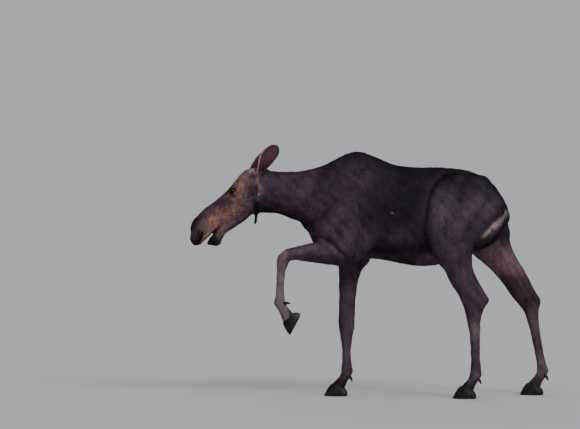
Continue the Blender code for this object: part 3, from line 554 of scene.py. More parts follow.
def flesh_shapes():
    """Every closed shape that makes up the flesh, left and right."""
    zero, ahead, rise = (0, 0, 0), (0, 1, 0), (0, 0, 1)
    wedge = mouth_wedge()
    head = ring_stack(HEAD, HEAD_ORIGIN, ALONG, UP, 100, 84, (2.1, 2.3), 0.45, 0.7)
    jaw = ring_stack(JAW, HEAD_ORIGIN, ALONG, UP, 70, 60, (2.2, 2.2), 0.5, 0.8)
    shapes = [without(head, wedge), without(jaw, wedge),
        ring_stack(TRUNK, zero, ahead, rise, 100, 96, (1.75, 2.1), 0.46, 0.55),
        ring_stack(NECK, zero, ahead, rise, 70, 72, (1.9, 2.0), 0.5, 0.4),
        ring_stack(FORE_LEFT_ARM, zero, ahead, rise, 60, 48),
        ring_stack(FORE_LEFT_CANNON, zero, rise, ahead, 50, 48),
        tube([(0, 0.83, 1.415)] + TAIL, [0.02] + TAIL_RADII, 32, 0.6),
        tube([head_point(0.139, -0.088)] + BELL, [0.02] + BELL_RADII, 28)]
    for rows in (HIND_LEFT, HIND_RIGHT, FORE_RIGHT):
        flipped = [(z, back, front, x, half) for z, front, back, x, half in rows]
        shapes.append(ring_stack(flipped, zero, rise, ahead, 110, 48))
    for side in (1.0, -1.0):
        rows = [(z, back, front, side * x, half) for z, front, back, x, half in SHOULDER]
        shapes.append(ring_stack(rows, zero, rise, ahead, 40, 48, cap=1.0))
        for (x, y, z), half in BODY_LUMPS:
            shapes.append(oval((side * x, y, z), half, np.eye(3)))
        for (x, s, t), half in HEAD_LUMPS:
            shapes.append(oval(head_point(s, t, side * x), half, (SIDE, ALONG, UP)))
    for _, _, fetlock, flex in FEET:
        forward, down = foot_axes(flex)
        slope = unit(forward * CORONET[0] + down * CORONET[1])
        ahead_of = unit(forward * CORONET[1] - down * CORONET[0])
        rows = [(along, front, back, fetlock[0], half) for along, front, back, half in PASTERN]
        base = np.array((0.0, fetlock[1], fetlock[2]))
        shapes.append(ring_stack(rows, base, slope, ahead_of, 40, 48, cap=0.3))
    return shapes


def past_coronet(points, fetlock, flex):
    """How far points lie past the slanted plane where a foot's claws begin,
    whether they are near that foot, and the plane's normal."""
    forward, down = foot_axes(flex)
    local = points - np.array(fetlock)
    normal = down * math.cos(CORONET_TILT) + forward * math.sin(CORONET_TILT)
    past = local @ normal - (forward * CORONET[0] + down * CORONET[1]) @ normal
    return past, np.linalg.norm(local, axis=1) < 0.25, normal


def cut_at_coronets(points):
    """Flatten what reaches past the plane where the claws begin."""
    for _, _, fetlock, flex in FEET:
        past, near, normal = past_coronet(points, fetlock, flex)
        past = np.where(near, np.maximum(past - 0.004, 0.0), 0.0)
        points = points - past[:, None] * normal
    return points


def join_flesh():
    """One closed surface: the shapes magnified, voxel remeshed and shrunk back,
    then relaxed as much as the frame's own flesh, less at the lips."""
    places = foci()
    points, groups, start = [], {3: [], 4: []}, 0
    for shape_points, shape_faces in flesh_shapes():
        points.append(shape_points)
        for group in shape_faces:
            groups[group.shape[1]].append(group + start)
        start += len(shape_points)
    points = magnify(np.concatenate(points), places)
    faces = [np.concatenate(g) for g in groups.values() if g]
    flesh = mesh_object("flesh", points, faces)
    remesh = flesh.modifiers.new("Join", "REMESH")
    remesh.mode = "VOXEL"
    remesh.voxel_size = VOXEL
    baked(flesh)
    wide = points_of(flesh)
    points = shrink_back(wide, places)
    edges = np.empty(len(flesh.data.edges) * 2, np.int32)
    flesh.data.edges.foreach_get("vertices", edges)
    edges = edges.reshape(-1, 2)
    span = np.linalg.norm(points[edges[:, 0]] - points[edges[:, 1]], axis=1)
    both = edges.ravel()
    step = (np.bincount(both, np.repeat(span, 2), len(points))
            / np.maximum(np.bincount(both, minlength=len(points)), 1))
    steps = 70
    amount = np.minimum(0.5, 0.00038 / (steps * step ** 2))
    s, t = head_plane(points)
    lips = ease(0.41, 0.47, s) * ease(-0.035, -0.062, t) * ease(-0.3, -0.25, t)
    amount *= 1.0 - 0.95 * lips
    points = relaxed(points, edges, amount, steps)
    move_points(flesh, points)
    return flesh, edges


# ---------------- parts of the body
def parts(points):
    """Soft masks of the head, legs and neck, from 0 to 1."""
    x, y, z = points.T
    head = ease(-0.77, -0.8, y)
    arm = ease(0.06, 0.09, x) * ease(-0.36, -0.46, y) * (y > -0.74)
    arm = arm * ease(1.18, 1.12, z)
    fore = ease(0.99, 0.87, z) * ease(0.12, 0.03, y)
    hind = ease(1.06, 0.88, z) * ease(0.26, 0.42, y)
    legs = np.maximum(np.maximum(arm, fore), hind) * (1.0 - head)
    neck = ease(-0.3, -0.46, y) * (1.0 - head) * (1.0 - legs)
    return head, legs, neck


def on_bell(points, low, high):
    """Soft mask of the bell: from low to high along the head's up axis."""
    s, t = head_plane(points)
    y = points[:, 1]
    return ease(low, high, t) * (y < -0.74) * (y > -1.0) * (s > 0.05)


def coat_depth(points):
    """How far the skin lies under the tips of the coat."""
    head, legs, neck = parts(points)
    muzzle = head * ease(0.3, 0.5, head_plane(points)[0])
    depth = 0.0045 + 0.001 * neck
    depth = depth + (0.0026 - depth) * np.maximum(head, legs)
    return depth + (0.0014 - depth) * muzzle


def front_line(rows, low, high, share, shift=0.0):
    """Path down a leg, at a share of its depth from front to back."""
    return [(front + share * (back - front) + shift, z) for z, front, back, *_ in rows if low <= z <= high]


# Edges where one muscle overlaps the next: y at each height.
FLANK_FOLD = ((0.92, 0.475), (0.97, 0.43), (1.05, 0.37), (1.12, 0.35),
        (1.2, 0.35), (1.3, 0.365), (1.38, 0.378), (1.45, 0.402), (1.5, 0.44), (1.545, 0.505), (1.58, 0.59))
ELBOW_FOLD = ((0.92, 0.15), (0.96, 0.122), (1.05, 0.096), (1.18, 0.088),
        (1.28, 0.1), (1.36, 0.122), (1.42, 0.15))
THIGH_BACK = 0.1          # how much further back the right thigh is


def overlap(y, z, edge, rise, crease, reach):
    """Height of a muscle that overlaps what lies before it: a crease along the
    edge, a quick rise behind it, and a slow fall over its reach."""
    heights, places = np.array(edge).T
    past = y - np.interp(z, heights, places)
    window = ease(heights[0], heights[0] + 0.07, z) * ease(heights[-1], heights[-1] - 0.07, z)
    step = ease(-0.01, 0.024, past) * np.exp(-(np.maximum(past, 0.0) / reach) ** 2)
    return window * (rise * step * (0.35 + 0.65 * ease(1.54, 1.4, z))
            - crease * np.exp(-(past / 0.014) ** 2))


def relief(mask, a, b, forms):
    """Height from a list of soft forms under a mask: the sum of each height
    times an oval, given by centre, half sizes and turn, or a band, given by
    path and width."""
    high = 0.0
    for height, where, *size in forms:
        shape = stripe if isinstance(where, list) else blot
        high = high + mask * height * shape(a, b, where, *size)
    return high


def hind_forms(rows):
    """Forms of one hind leg, placed by its own rings: the buttock's hollow, the
    stifle, the hamstring's groove, the shin, the hock and the tendons."""
    seat, rump, stifle = rows[2], rows[3], rows[4]
    buttock = [(seat[2] - 0.125, 1.345), (rump[2] - 0.14, 1.2), (stifle[2] - 0.09, 1.07)]
    return ((-0.0065, buttock, 0.024), (0.005, (stifle[1] + 0.06, stifle[0] + 0.03), (0.05, 0.07)),
            (-0.009, front_line(rows, 0.68, 0.97, 0.7), 0.014),
            (0.003, front_line(rows, 0.7, 0.95, 0.3), 0.02),
            (0.004, front_line(rows, 0.6, 0.66, 0.45), 0.02),
            (-0.0025, front_line(rows, 0.6, 0.69, 0.72), 0.009),
            (-0.005, front_line(rows, 0.22, 0.53, 0.6), 0.01))


# Forms seen from the side: height, then an oval's or a band's place and size.
FORE_FORMS = ((-0.005, front_line(FORE_RIGHT, 0.22, 0.44, 0.58), 0.01),
    (0.003, front_line(FORE_RIGHT, 0.5, 0.9, 0.35), 0.016),
    (-0.0035, front_line(FORE_RIGHT, 0.5, 0.9, 0.75), 0.016), (0.003, (-0.175, 0.51), (0.045, 0.035)))
LIFTED_FORMS = ((-0.005, [(-0.628, 0.9), (-0.628, 0.7)], 0.009), (0.0035, (-0.605, 0.985), (0.038, 0.036)),
    (0.004, [(-0.3, 1.05), (-0.45, 1.015), (-0.56, 1.0)], 0.022),
    (-0.0035, [(-0.24, 0.965), (-0.4, 0.972), (-0.54, 0.968)], 0.012))
TRUNK_FORMS = (
    # Shoulder: blade, groove before it, upper arm and the folds at the elbow.
    (0.0075, [(-0.07, 1.54), (-0.2, 1.38), (-0.31, 1.24)], 0.04),
    (-0.0105, [(-0.27, 1.52), (-0.385, 1.37), (-0.452, 1.2)], 0.03),
    (0.015, (-0.185, 1.16), (0.09, 0.12), 12.0),
    (-0.0115, [(-0.355, 1.105), (-0.29, 1.065), (-0.205, 0.99)], 0.016),
    (-0.005, [(-0.335, 1.24), (-0.26, 1.16), (-0.2, 1.04)], 0.018),
    # The hollow before the hip, the belly, its edge and the thigh.
    (-0.01, (0.425, 1.455), (0.075, 0.07), -20.0), (0.006, (0.22, 1.13), (0.2, 0.12)),
    (-0.004, [(0.0, 1.0), (0.15, 0.965), (0.3, 0.955)], 0.018), (0.008, (0.6, 1.25), (0.12, 0.13)),
    # Neck: the vein's groove, the long muscle over it, the jaw's crease.
    (-0.0085, [(-0.74, 1.345), (-0.6, 1.3), (-0.47, 1.235)], 0.02),
    (0.006, [(-0.74, 1.42), (-0.6, 1.4), (-0.46, 1.37)], 0.035),
    (-0.005, [(-0.782, 1.5), (-0.782, 1.394), (-0.765, 1.285)], 0.016))
HEAD_FORMS = (
    # Cheek ridge, hollows of the face, brow, eye corner and cheek muscle.
    (0.0035, [(0.225, 0.03), (0.29, 0.02), (0.35, 0.018)], 0.014),
    (-0.0045, (0.285, 0.056), (0.04, 0.018), -8.0), (-0.004, (0.3, -0.018), (0.055, 0.018), 4.0),
    (-0.005, (0.128, 0.105), (0.026, 0.016), -10.0),
    (0.0035, [(0.15, 0.112), (0.19, 0.114), (0.222, 0.104)], 0.01),
    (-0.003, [(0.222, 0.07), (0.25, 0.052)], 0.007), (0.0045, (0.125, -0.03), (0.06, 0.055)),
    (-0.0045, [(0.205, 0.03), (0.215, -0.02), (0.195, -0.075)], 0.014),
    (-0.004, [(0.385, -0.075), (0.3, -0.088), (0.215, -0.092)], 0.01),
    (0.003, [(0.36, -0.105), (0.24, -0.115), (0.12, -0.1)], 0.016),
    # Muzzle: nostril wing, the fold behind it, the upper lip's hanging edge.
    (0.004, (0.572, 0.0), (0.026, 0.036)),
    (-0.0035, [(0.492, 0.016), (0.488, -0.012), (0.505, -0.036)], 0.008),
    (0.003, [(0.44, -0.052), (0.5, -0.06), (0.56, -0.074)], 0.012),
    (-0.0028, [(0.41, -0.066), (0.452, -0.069)], 0.006),
    (-0.0022, [(0.428, -0.04), (0.47, -0.044), (0.515, -0.055)], 0.006))


def model_body(points, normals):
    """Height of the body's muscles, folds and bones over the plain stacks."""
    x, y, z = points.T
    flank = ease(0.2, 0.6, np.abs(normals[:, 0]))
    left, right = ease(-0.02, 0.02, x), ease(0.02, -0.02, x)
    high = np.zeros(len(points))
    for side, rows, back in ((left, HIND_LEFT, 0.0), (right, HIND_RIGHT, THIGH_BACK)):
        high += side * flank * overlap(y - back, z, FLANK_FOLD, 0.015, 0.006, 0.13)
        high += relief(side * flank, y, z, hind_forms(rows))
    high += relief(right * (y < 0.1) * flank, y, z, FORE_FORMS)
    lifted = ease(0.06, 0.09, x) * (y < 0.0) * (y > -0.74)
    high += relief(lifted * flank, y, z, LIFTED_FORMS)
    high += flank * overlap(-y, z, ELBOW_FOLD, 0.009, 0.0045, 0.12)
    high += relief(flank, y, z, TRUNK_FORMS)
    ribs = np.sin((y + 0.25 * (z - 1.2) ** 2 - 0.1 * z) * TURN / 0.052)
    high += flank * 0.0005 * ribs * blot(y, z, (0.16, 1.22), (0.2, 0.2))
    # Fine unevenness of wet skin over muscle.
    high += 0.0009 * ripple(points, 0.06, 11) + 0.0005 * ripple(points, 0.025, 12)
    # The buttocks and tail root round off behind, the far thigh fills out.
    rear = ease(0.3, 0.7, normals[:, 1])
    high += rear * (y > 0.88) * -0.01 * blot(x, z, (0.0, 1.297), (0.12, 0.042))
    high += rear * (y > 0.84) * 0.011 * blot(x, z, (0.0, 1.362), (0.09, 0.03))
    far_thigh = rear * ease(-0.03, -0.08, x) * (y > 0.86)
    return high + far_thigh * 0.013 * np.exp(-((z - 1.15) / 0.07) ** 2)


def model_head(points, normals):
    """Height of the head's bones, hollows, lips and wrinkles."""
    s, t = head_plane(points)
    head = parts(points)[0]
    flank = ease(0.15, 0.55, np.abs(normals[:, 0])) * head
    high = relief(flank, s, t, HEAD_FORMS)
    # Shoulders of the crown, rounded down to each side.
    high -= head * 0.01 * ease(0.04, 0.085, np.abs(points[:, 0])) * blot(s, t, (0.03, 0.115), (0.1, 0.06))
    # Wrinkles of the cheek and jaw, and small folds round the mouth's corner.
    folds = np.sin((t + 0.35 * s) * TURN / 0.0135 + 1.5 * ripple(points, 0.05, 21))
    high += flank * 0.0015 * folds * blot(s, t, (0.2, -0.07), (0.11, 0.045), 5.0)
    corner = np.sin((s * 0.8 - 0.6 * t) * TURN / 0.0105 + 1.2 * ripple(points, 0.03, 22))
    high += flank * 0.0007 * corner * blot(s, t, (0.425, -0.075), (0.035, 0.035))
    return high + head * (0.0004 * ripple(points, 0.022, 23) + 0.0002 * ripple(points, 0.009, 24))


def make_skin():
    """The one skin of the animal, inset by the coat's depth and modelled."""
    flesh, edges = join_flesh()
    points = cut_at_coronets(points_of(flesh))
    triangles = triangles_of(flesh)
    normals = point_normals(points, triangles)
    points = points - normals * coat_depth(points)[:, None]
    for form in (model_body, model_head):
        normals = point_normals(points, triangles)
        points = points + normals * form(points, normals)[:, None]
    points = relaxed(points, edges, np.full(len(points), 0.35), 2)
    move_points(flesh, points)
    thin = flesh.modifiers.new("Thin", "DECIMATE")
    thin.ratio = SKIN_TRIANGLES / (2.0 * len(flesh.data.polygons))
    baked(flesh)
    points, triangles = points_of(flesh), triangles_of(flesh)
    bpy.data.objects.remove(flesh, do_unlink=True)
    return mesh_object("skin", points, [triangles])


# ---------------- lids, nostrils
def slit(spine, width, offset, around, point=0.5):
    """Closed loop round a curved slit in a plane.  The middle follows a curve
    through three points; the half width falls to the ends as (1 - L^2)^point,
    and the whole loop lies offset further out."""
    p, q, r = (np.array(v, float) for v in spine)
    turn = np.linspace(0.0, TURN, around, endpoint=False)
    reach, rise = np.cos(turn), np.sin(turn)
    middle = (q + (r - p) / 2.0 * reach[:, None] + ((r + p) / 2.0 - q) * (reach ** 2)[:, None])
    tangent = unit((r - p) / 2.0 + (r + p - 2.0 * q) * reach[:, None])
    normal = np.stack([-tangent[:, 1], tangent[:, 0]], -1)
    up, down = width
    half = np.where(rise > 0, up, down) * np.abs(rise) ** (2.0 * point)
    return (middle + tangent * (offset * reach)[:, None]
            + normal * (np.sign(rise) * half + offset * rise)[:, None])


def sheet_of_loops(name, loops, inside, close=False):
    """Surface through closed loops of equal length, open or closed at its first
    loop, whose faces look away from a place behind it."""
    count, around = loops.shape[:2]
    points = loops.reshape(-1, 3)
    k, n, base = ring_steps(count, around)
    groups = [np.stack([base + k, base + around + k, base + around + n, base + n], -1).reshape(-1, 4)]
    if close:
        points = np.concatenate([points, [loops[0].mean(0)]])
        groups.append(np.stack([np.full(around, len(points) - 1), k, n], -1))
    sheet = mesh_object(name, points, groups)
    points, triangles = points_of(sheet), triangles_of(sheet)
    middle = points[triangles].mean(1) - inside
    if np.einsum("ij,ij->", face_normals(points, triangles), middle) < 0.0:
        sheet.data.flip_normals()
    return sheet


def eye_axes(side):
    """Outward, along and up directions of an eye, turned a little forward."""
    sign = SIGNS[side]
    out = unit(sign * SIDE + 0.16 * ALONG + 0.1 * UP)
    along = unit(ALONG - out * (ALONG @ out))
    up = np.cross(out, along) * sign
    return out, along, (up if up @ UP > 0 else -up)


def by_eye(points, side):
    """How far each point lies along, above and out from an eye's centre."""
    out, along, up = eye_axes(side)
    local = points - EYES[side]
    return local @ along, local @ up, local @ out


def skin_height(tree, places, out, fallback=0.0):
    """Distance along out from each place to the skin's surface."""
    hits = [tree.ray_cast(Vector(place + out * 0.08), Vector(-out), 0.14)[3] for place in places]
    return np.array([fallback if hit is None else 0.08 - hit for hit in hits])


ALMOND = ((-0.018, -0.0024), (0.0, 0.001), (0.0195, -0.005))
ALMOND_HALF = (0.0124, 0.0112)
LOOP_POINTS = 96


def lid_loops(side, tree):
    """Lids: loops round the almond of the eye.  Near the opening they lie on a
    shell just over the ball; further out they settle onto the skin."""
    centre = EYES[side]
    out, along, up = eye_axes(side)
    loops = []
    table = ((-0.003, -0.0016, 0.0), (-0.0016, 0.0002, 0.0), (-0.0006, 0.0012, 0.0),
            (0.0002, 0.0022, 0.0), (0.0012, 0.003, 0.0), (0.0026, 0.0033, 0.02),
            (0.0042, 0.0031, 0.1), (0.006, 0.0022, 0.28), (0.0078, 0.0022, 0.52),
            (0.0098, 0.0016, 0.78), (0.0118, 0.0008, 0.95), (0.0135, 0.0002, 1.0),
            (0.0155, -0.0012, 1.0), (0.018, -0.0032, 1.0))
    for offset, lift, settle in table:
        flat = slit(ALMOND, ALMOND_HALF, offset, LOOP_POINTS, 0.52)
        foot = centre + flat[:, :1] * along + flat[:, 1:] * up
        ground = skin_height(tree, foot, out, 0.016)
        far = np.linalg.norm(flat, axis=1)
        shell = np.sqrt(np.maximum((EYE_RADIUS + lift) ** 2 - far ** 2, 1e-6))
        brow = 0.0026 * np.exp(-((flat[:, 1] - 0.0165) / 0.005) ** 2)
        bag = 0.0016 * np.exp(-((flat[:, 1] + 0.015) / 0.004) ** 2)
        ground = ground + (brow + bag) * np.exp(-(flat[:, 0] / 0.018) ** 2) * (offset < 0.017)
        cover = ground + min(lift, 0.001)
        height = shell * (1.0 - settle) + cover * settle
        loops.append(foot + out * height[:, None])
    return np.array(loops)


NOSTRIL = ((0.524, -0.018), (0.55, -0.05), (0.604, -0.064))
NOSTRIL_LOOPS = (                       # how far out, and how high over the skin
    (-0.0026, -0.025), (-0.002, -0.018), (-0.0014, -0.011), (-0.0006, -0.0055),
    (0.0, -0.0016), (0.001, 0.0009), (0.0022, 0.0022), (0.0038, 0.0025),
    (0.006, 0.0016), (0.0085, 0.0009), (0.011, 0.0004), (0.0135, -0.0016))


def nostril_loops(sign, tree):
    """Nostril: loops round a long comma, from deep inside to the skin round it,
    with a rolled rim."""
    out = unit(sign * SIDE + 0.35 * ALONG - 0.1 * UP)
    along = unit(ALONG - out * (ALONG @ out))
    up = unit(UP - out * (UP @ out) - along * (UP @ along))
    centre = head_point(NOSTRIL[1][0], NOSTRIL[1][1], sign * 0.055)
    spine = [((s - NOSTRIL[1][0]) / max(along @ ALONG, 0.5), (t - NOSTRIL[1][1])) for s, t in NOSTRIL]
    loops = []
    for offset, lift in NOSTRIL_LOOPS:
        flat = slit(spine, (0.0062, 0.0044), offset, LOOP_POINTS, 0.36)
        foot = centre + flat[:, :1] * along + flat[:, 1:] * up
        ground = skin_height(tree, foot, out, 0.0)
        loops.append(foot + out * (ground + lift)[:, None])
    return np.array(loops)


def sink_openings(skin):
    """Push the skin inside under the lids and nostrils that cover it."""
    points = points_of(skin)
    s, t = head_plane(points)
    for side in EYES:
        out = eye_axes(side)[0]
        a, b, c = by_eye(points, side)
        inside = ease(1.25, 0.75, np.hypot(a / 0.029, (b + 0.0005) / 0.0205))
        inside = inside * (c > 0.0)
        points = points - (out * inside[:, None]) * (c * 0.75)[:, None]
    bend = stripe(s, t, NOSTRIL, 0.0075)
    deep = 0.03 * ease(0.45, 0.95, bend) * ease(0.02, 0.04, np.abs(points[:, 0]))
    points[:, 0] -= np.sign(points[:, 0]) * deep
    move_points(skin, points)


def make_eye(side):
    """Ball with a raised cornea: the radius grows by a soft dome of 1.6 mm
    within 12 mm of the axis.  Iris, pupil and rim are rings round the axis."""
    centre = EYES[side]
    out, along, up = eye_axes(side)
    tilt = np.linspace(0.012, math.pi - 0.03, 72)[:, None]
    turn = np.linspace(0.0, TURN, 96, endpoint=False)
    wide = EYE_RADIUS * np.sin(tilt)
    dome = 0.0016 * np.where(tilt < 1.0, np.exp(-(wide / 0.0095) ** 4), 0.0)
    radius = EYE_RADIUS - 0.0002 + dome
    rings = centre + sum((radius * share)[..., None] * axis for share, axis in zip(
        ball_shares(tilt, turn), (along, up, out)))
    points, faces = ring_grid(rings)
    eye = mesh_object("eyeball_" + side, points, faces)
    a, b, c = by_eye(points, side)
    reach = np.hypot(a, b)
    bar = np.hypot(a / 0.0072, b / 0.0036)
    angle = np.arctan2(b, a)
    fibre = 0.5 + 0.5 * np.sin(angle * 46.0 + 3.0 * np.sin(angle * 7.0))
    iris = np.array((0.013, 0.006, 0.0034)) * (0.6 + 0.6 * fibre[:, None])
    white = np.array((0.034, 0.022, 0.02))
    edge = ease(0.0118, 0.0138, reach)[:, None]
    colour = iris * (1.0 - edge) + white * edge
    ring = np.exp(-((reach - 0.0122) / 0.001) ** 2)[:, None]
    colour = colour * (1.0 - 0.75 * ring)
    colour = colour * ease(0.85, 1.15, bar)[:, None] + 0.0012
    put(eye, "tint", np.where((c > 0.0)[:, None], colour, white))
    return eye


def make_lids(side, tree):
    """The lids as one open sheet round the eye."""
    inside = EYES[side] - eye_axes(side)[0] * 0.02
    return sheet_of_loops("eyelids_" + side, lid_loops(side, tree), inside)


def make_nostril(side, tree):
    """The nostril as a sheet, closed at its deep end."""
    loops = nostril_loops(SIGNS[side], tree)
    inside = loops[0].mean(0) - SIGNS[side] * SIDE * 0.05
    return sheet_of_loops("nostril_" + side, loops, inside, close=True)


# ---------------- ears
def ear_axes(side):
    """Directions of an ear: toward its tip, out of its hollow and across."""
    base, tip, facing = (np.array(v, float) for v in EARS[side])
    axis = unit(tip - base)
    face = unit(facing - axis * (facing @ axis))
    return axis, face, np.cross(axis, face)


def front_sign(side):
    """Which edge of an ear's grid is its front rim: +1 or -1 along across."""
    return 1.0 if ear_axes(side)[2][1] < 0.0 else -1.0


def grid_quads(rows, columns):
    """Quads of a grid of points, row by row."""
    corner = (np.arange(rows - 1)[:, None] * columns + np.arange(columns - 1)).ravel()
    return np.stack([corner, corner + 1, corner + 1 + columns, corner + columns], -1)


def ear_grid(side, rows=72, columns=49):
    """Leaf of an ear: arrays of its inner and outer surface, and of u from base
    to tip and v from edge to edge.  Width grows softly from a narrow base and
    ends in a rounded tip; the trough's depth falls from base to tip; low ribs
    run toward the tip."""
    base, tip = (np.array(place) for place in EARS[side][:2])
    axis, face, across = ear_axes(side)
    length = np.linalg.norm(tip - base)
    u = np.linspace(-0.1, 1.0, rows)[:, None]
    v = np.linspace(-1.0, 1.0, columns)[None, :]
    leaf = np.clip((u + 0.1) / 1.1, 0.0, 1.0)
    round_tip = np.sqrt(np.maximum(1.0 - (np.maximum(u - 0.66, 0.0) / 0.342) ** 2.2, 0.004))
    front = front_sign(side)
    narrow = np.where((v * front > 0) & (side == "right"), 0.8, 0.38)
    width = EAR_HALF_WIDTH * 1.08 * (narrow + (1.0 - narrow) * ease(0.0, 0.6, u)) * round_tip
    inside = np.clip(u, 0.0, 1.0)
    depth = 0.046 * (1.0 - 0.72 * inside)
    depth = np.where(u > 0.62, depth * width / EAR_HALF_WIDTH, depth)
    lean = 0.02 * np.sin(math.pi * inside)
    ribs = 0.001 * np.cos(v * 9.0 * math.pi / 2.0) * (1.0 - v ** 4) * np.sin(math.pi * inside)
    curl = 0.003 * np.abs(v) ** 8 * np.sin(math.pi * leaf) ** 0.5
    rise = lean - depth * (1.0 - v * v)
    swept = width * v - front * 0.011 * ease(0.5, 1.0, u)
    middle = base + axis * (u * length)[..., None] + across * swept[..., None]
    inner = middle + face * (rise + ribs + curl)[..., None]
    thick = EAR_THICKNESS * (1.0 - 0.72 * v * v) * (1.0 - 0.35 * inside)
    outer = middle + face * (rise + curl - thick)[..., None]
    return inner, outer, (u + 0.0 * v, v + 0.0 * u)


def make_ear(side):
    """Both surfaces of the leaf, closed round their common edge."""
    inner, outer = ear_grid(side)[:2]
    rows, columns = inner.shape[:2]
    points = np.concatenate([inner.reshape(-1, 3), outer.reshape(-1, 3)])
    quad = grid_quads(rows, columns)
    back = rows * columns + quad[:, ::-1]
    rim = np.concatenate([np.arange(columns), np.arange(1, rows) * columns + columns - 1,
        (rows - 1) * columns + np.arange(columns - 2, -1, -1), np.arange(rows - 2, 0, -1) * columns])
    follow = np.roll(rim, -1)
    wall = np.stack([rim, rim + rows * columns, follow + rows * columns, follow], -1)
    faces = outward(points, [np.concatenate([quad, back, wall])])
    return mesh_object("ear_shell_" + side, points, faces)


# ---------------- claws
def make_claw(name, side_x, hand, fetlock, flex):
    """One half of a hoof: rings from the slanted coronet to the flat sole.
    Each ring is an oval, narrower to the toe and flatter on the cleft's side;
    fine rings of growth and a soft lip at the top are added to its size."""
    forward, down = foot_axes(flex)
    at = np.array((0.0, fetlock[1], fetlock[2]))
    tilt = math.tan(CORONET_TILT)
    level = np.concatenate([np.linspace(0.0, 0.12, 7), np.linspace(0.15, 0.955, 34),
            [0.975, 0.99, 1.0]])[:, None]
    turn = np.linspace(0.0, TURN, 72, endpoint=False)[None, :]
    c, s = np.cos(turn), np.sin(turn)
    swell = np.sin(math.pi * level)
    back = ((1 - level) * (CORONET[0] - 0.046) + level * HEEL_AHEAD
            - 0.007 * swell + 0.01 * ease(0.75, 1.0, level) ** 2)
    front = ((1 - level) * (CORONET[0] + 0.046) + level * TOE_AHEAD
            + 0.0035 * swell - 0.005 * ease(0.88, 1.0, level) ** 2)
    lip = 0.0013 * np.exp(-((level - 0.1) / 0.05) ** 2) - 0.0055 * ease(0.12, 0.0, level)
    rings = 0.00022 * np.sin(level * TURN * 11.0 + 0.6 * c) * ease(0.1, 0.2, level)
    edge = -0.0014 * ease(0.965, 1.0, level)
    half = CLAW_HALF_WIDTH * (0.93 + 0.07 * level)
    middle, reach = 0.5 * (front + back), 0.5 * (front - back)
    taper = 1.0 - (0.16 + 0.42 * level) * np.maximum(c, 0.0) ** 2
    inward = (s * hand) < 0.0
    wide = half * np.where(inward, 0.86, 1.0) * taper + lip + rings + edge
    round_toe = np.where(c > 0, np.abs(c) ** 0.92, -np.abs(c))
    x = side_x + hand * (0.5 * CLEFT + half * 0.86 * taper) + s * wide
    x = x + hand * (0.0025 * swell - 0.003 * level * np.maximum(c, 0.0) ** 2)
    ahead = middle + (reach + lip + rings + edge) * round_toe
    top = CORONET[1] - (ahead - CORONET[0]) * tilt + 0.0006
    depth = (1 - level) * top + level * FETLOCK_HEIGHT
    rings = (at + ahead[..., None] * forward + depth[..., None] * down + x[..., None] * SIDE)
    return mesh_object(name, *ring_grid(rings))


def make_dewclaw(name, side_x, hand, fetlock, flex):
    """Small blunt horn behind the fetlock: a tapering tube."""
    forward, down = foot_axes(flex)
    at = np.array((side_x, fetlock[1], fetlock[2]))
    path = [at + forward * f + down * d + SIDE * (hand * h) for f, d, h in (
        (0.004, 0.0, 0.008), (-0.008, 0.012, 0.015), (-0.021, 0.03, 0.021),
        (-0.031, 0.047, 0.0235), (-0.036, 0.06, 0.0235), (-0.037, 0.0665, 0.023))]
    radii = (0.009, 0.013, 0.0126, 0.009, 0.0046, 0.0008)
    return mesh_object(name, *tube(path, radii, 36, 0.85, 40))


# ---------------- markings
# Coat colours. Besides the coat's own tones, some also serve as painted light: "back" and "flank" as
# painted shade, "shoulder", "thigh" and "shank" partly as painted highlight, and the near-black colour as
# painted shade in the mouth and nostrils.
COATS = {"body": (0.02, 0.014, 0.0245), "back": (0.016, 0.011, 0.0175),
    "flank": (0.008, 0.0055, 0.0086), "shoulder": (0.092, 0.055, 0.08),
    "thigh": (0.092, 0.06, 0.088), "neck": (0.07, 0.0385, 0.06),
    "leg": (0.078, 0.044, 0.065), "inner": (0.185, 0.096, 0.112),
    "shank": (0.185, 0.125, 0.15), "face": (0.128, 0.07, 0.087),
    "brow": (0.275, 0.142, 0.148), "slate": (0.052, 0.032, 0.054),
    "rust": (0.4, 0.178, 0.128), "amber": (0.3, 0.125, 0.058),
    "snout": (0.0125, 0.0058, 0.0078), "lip": (0.42, 0.19, 0.14),
    "soot": (0.006, 0.004, 0.005), "pale": (0.42, 0.32, 0.31),
    "pink": (0.52, 0.32, 0.27), "cream": (0.56, 0.4, 0.33)}


def lay(colour, name, share):
    """Mix a named coat colour into the rows by a share from 0 to 1."""
    share = np.clip(share, 0.0, 1.0)[:, None]
    return colour * (1.0 - share) + np.array(COATS[name]) * share


def painted(colour, a, b, spots):
    """Soft spots laid over the colour in turn: each a colour's name and a share,
    then an oval's centre, half sizes and turn, or a band's path and width."""
    for name, share, *where in spots:
        if where:
            shape = stripe if isinstance(where[0], list) else blot
            share = share * shape(a, b, *where)
        colour = lay(colour, name, share)
    return colour


def bare_seam(points, normals):
    """Share of the pale seam below the tail: a band down the thigh's rear edge,
    where the surface turns from the side to the back."""
    x, y, z = points.T
    bare = np.zeros(len(points))
    for sign, rows, strength in ((1.0, HIND_LEFT, 1.0), (-1.0, HIND_RIGHT, 0.08)):
        edge = front_line(rows, 1.02, 1.3, 1.0, -0.004)
        turned = np.exp(-((sign * normals[:, 0] - 0.44) / 0.28) ** 2)
        share = strength * ease(1.09, 1.15, z) * (0.65 + 0.35 * ease(1.14, 1.2, z))
        kept = 1.0 - ease(1.22, 1.27, z) * ease(0.08, 0.105, sign * x)
        bare += share * stripe(y, z, edge, 0.024) * turned * ease(
            0.3, 0.6, normals[:, 1]) * ease(0.03, 0.075, sign * x) * kept
    return bare * (0.88 + 0.18 * ripple(points, 0.035, 33))


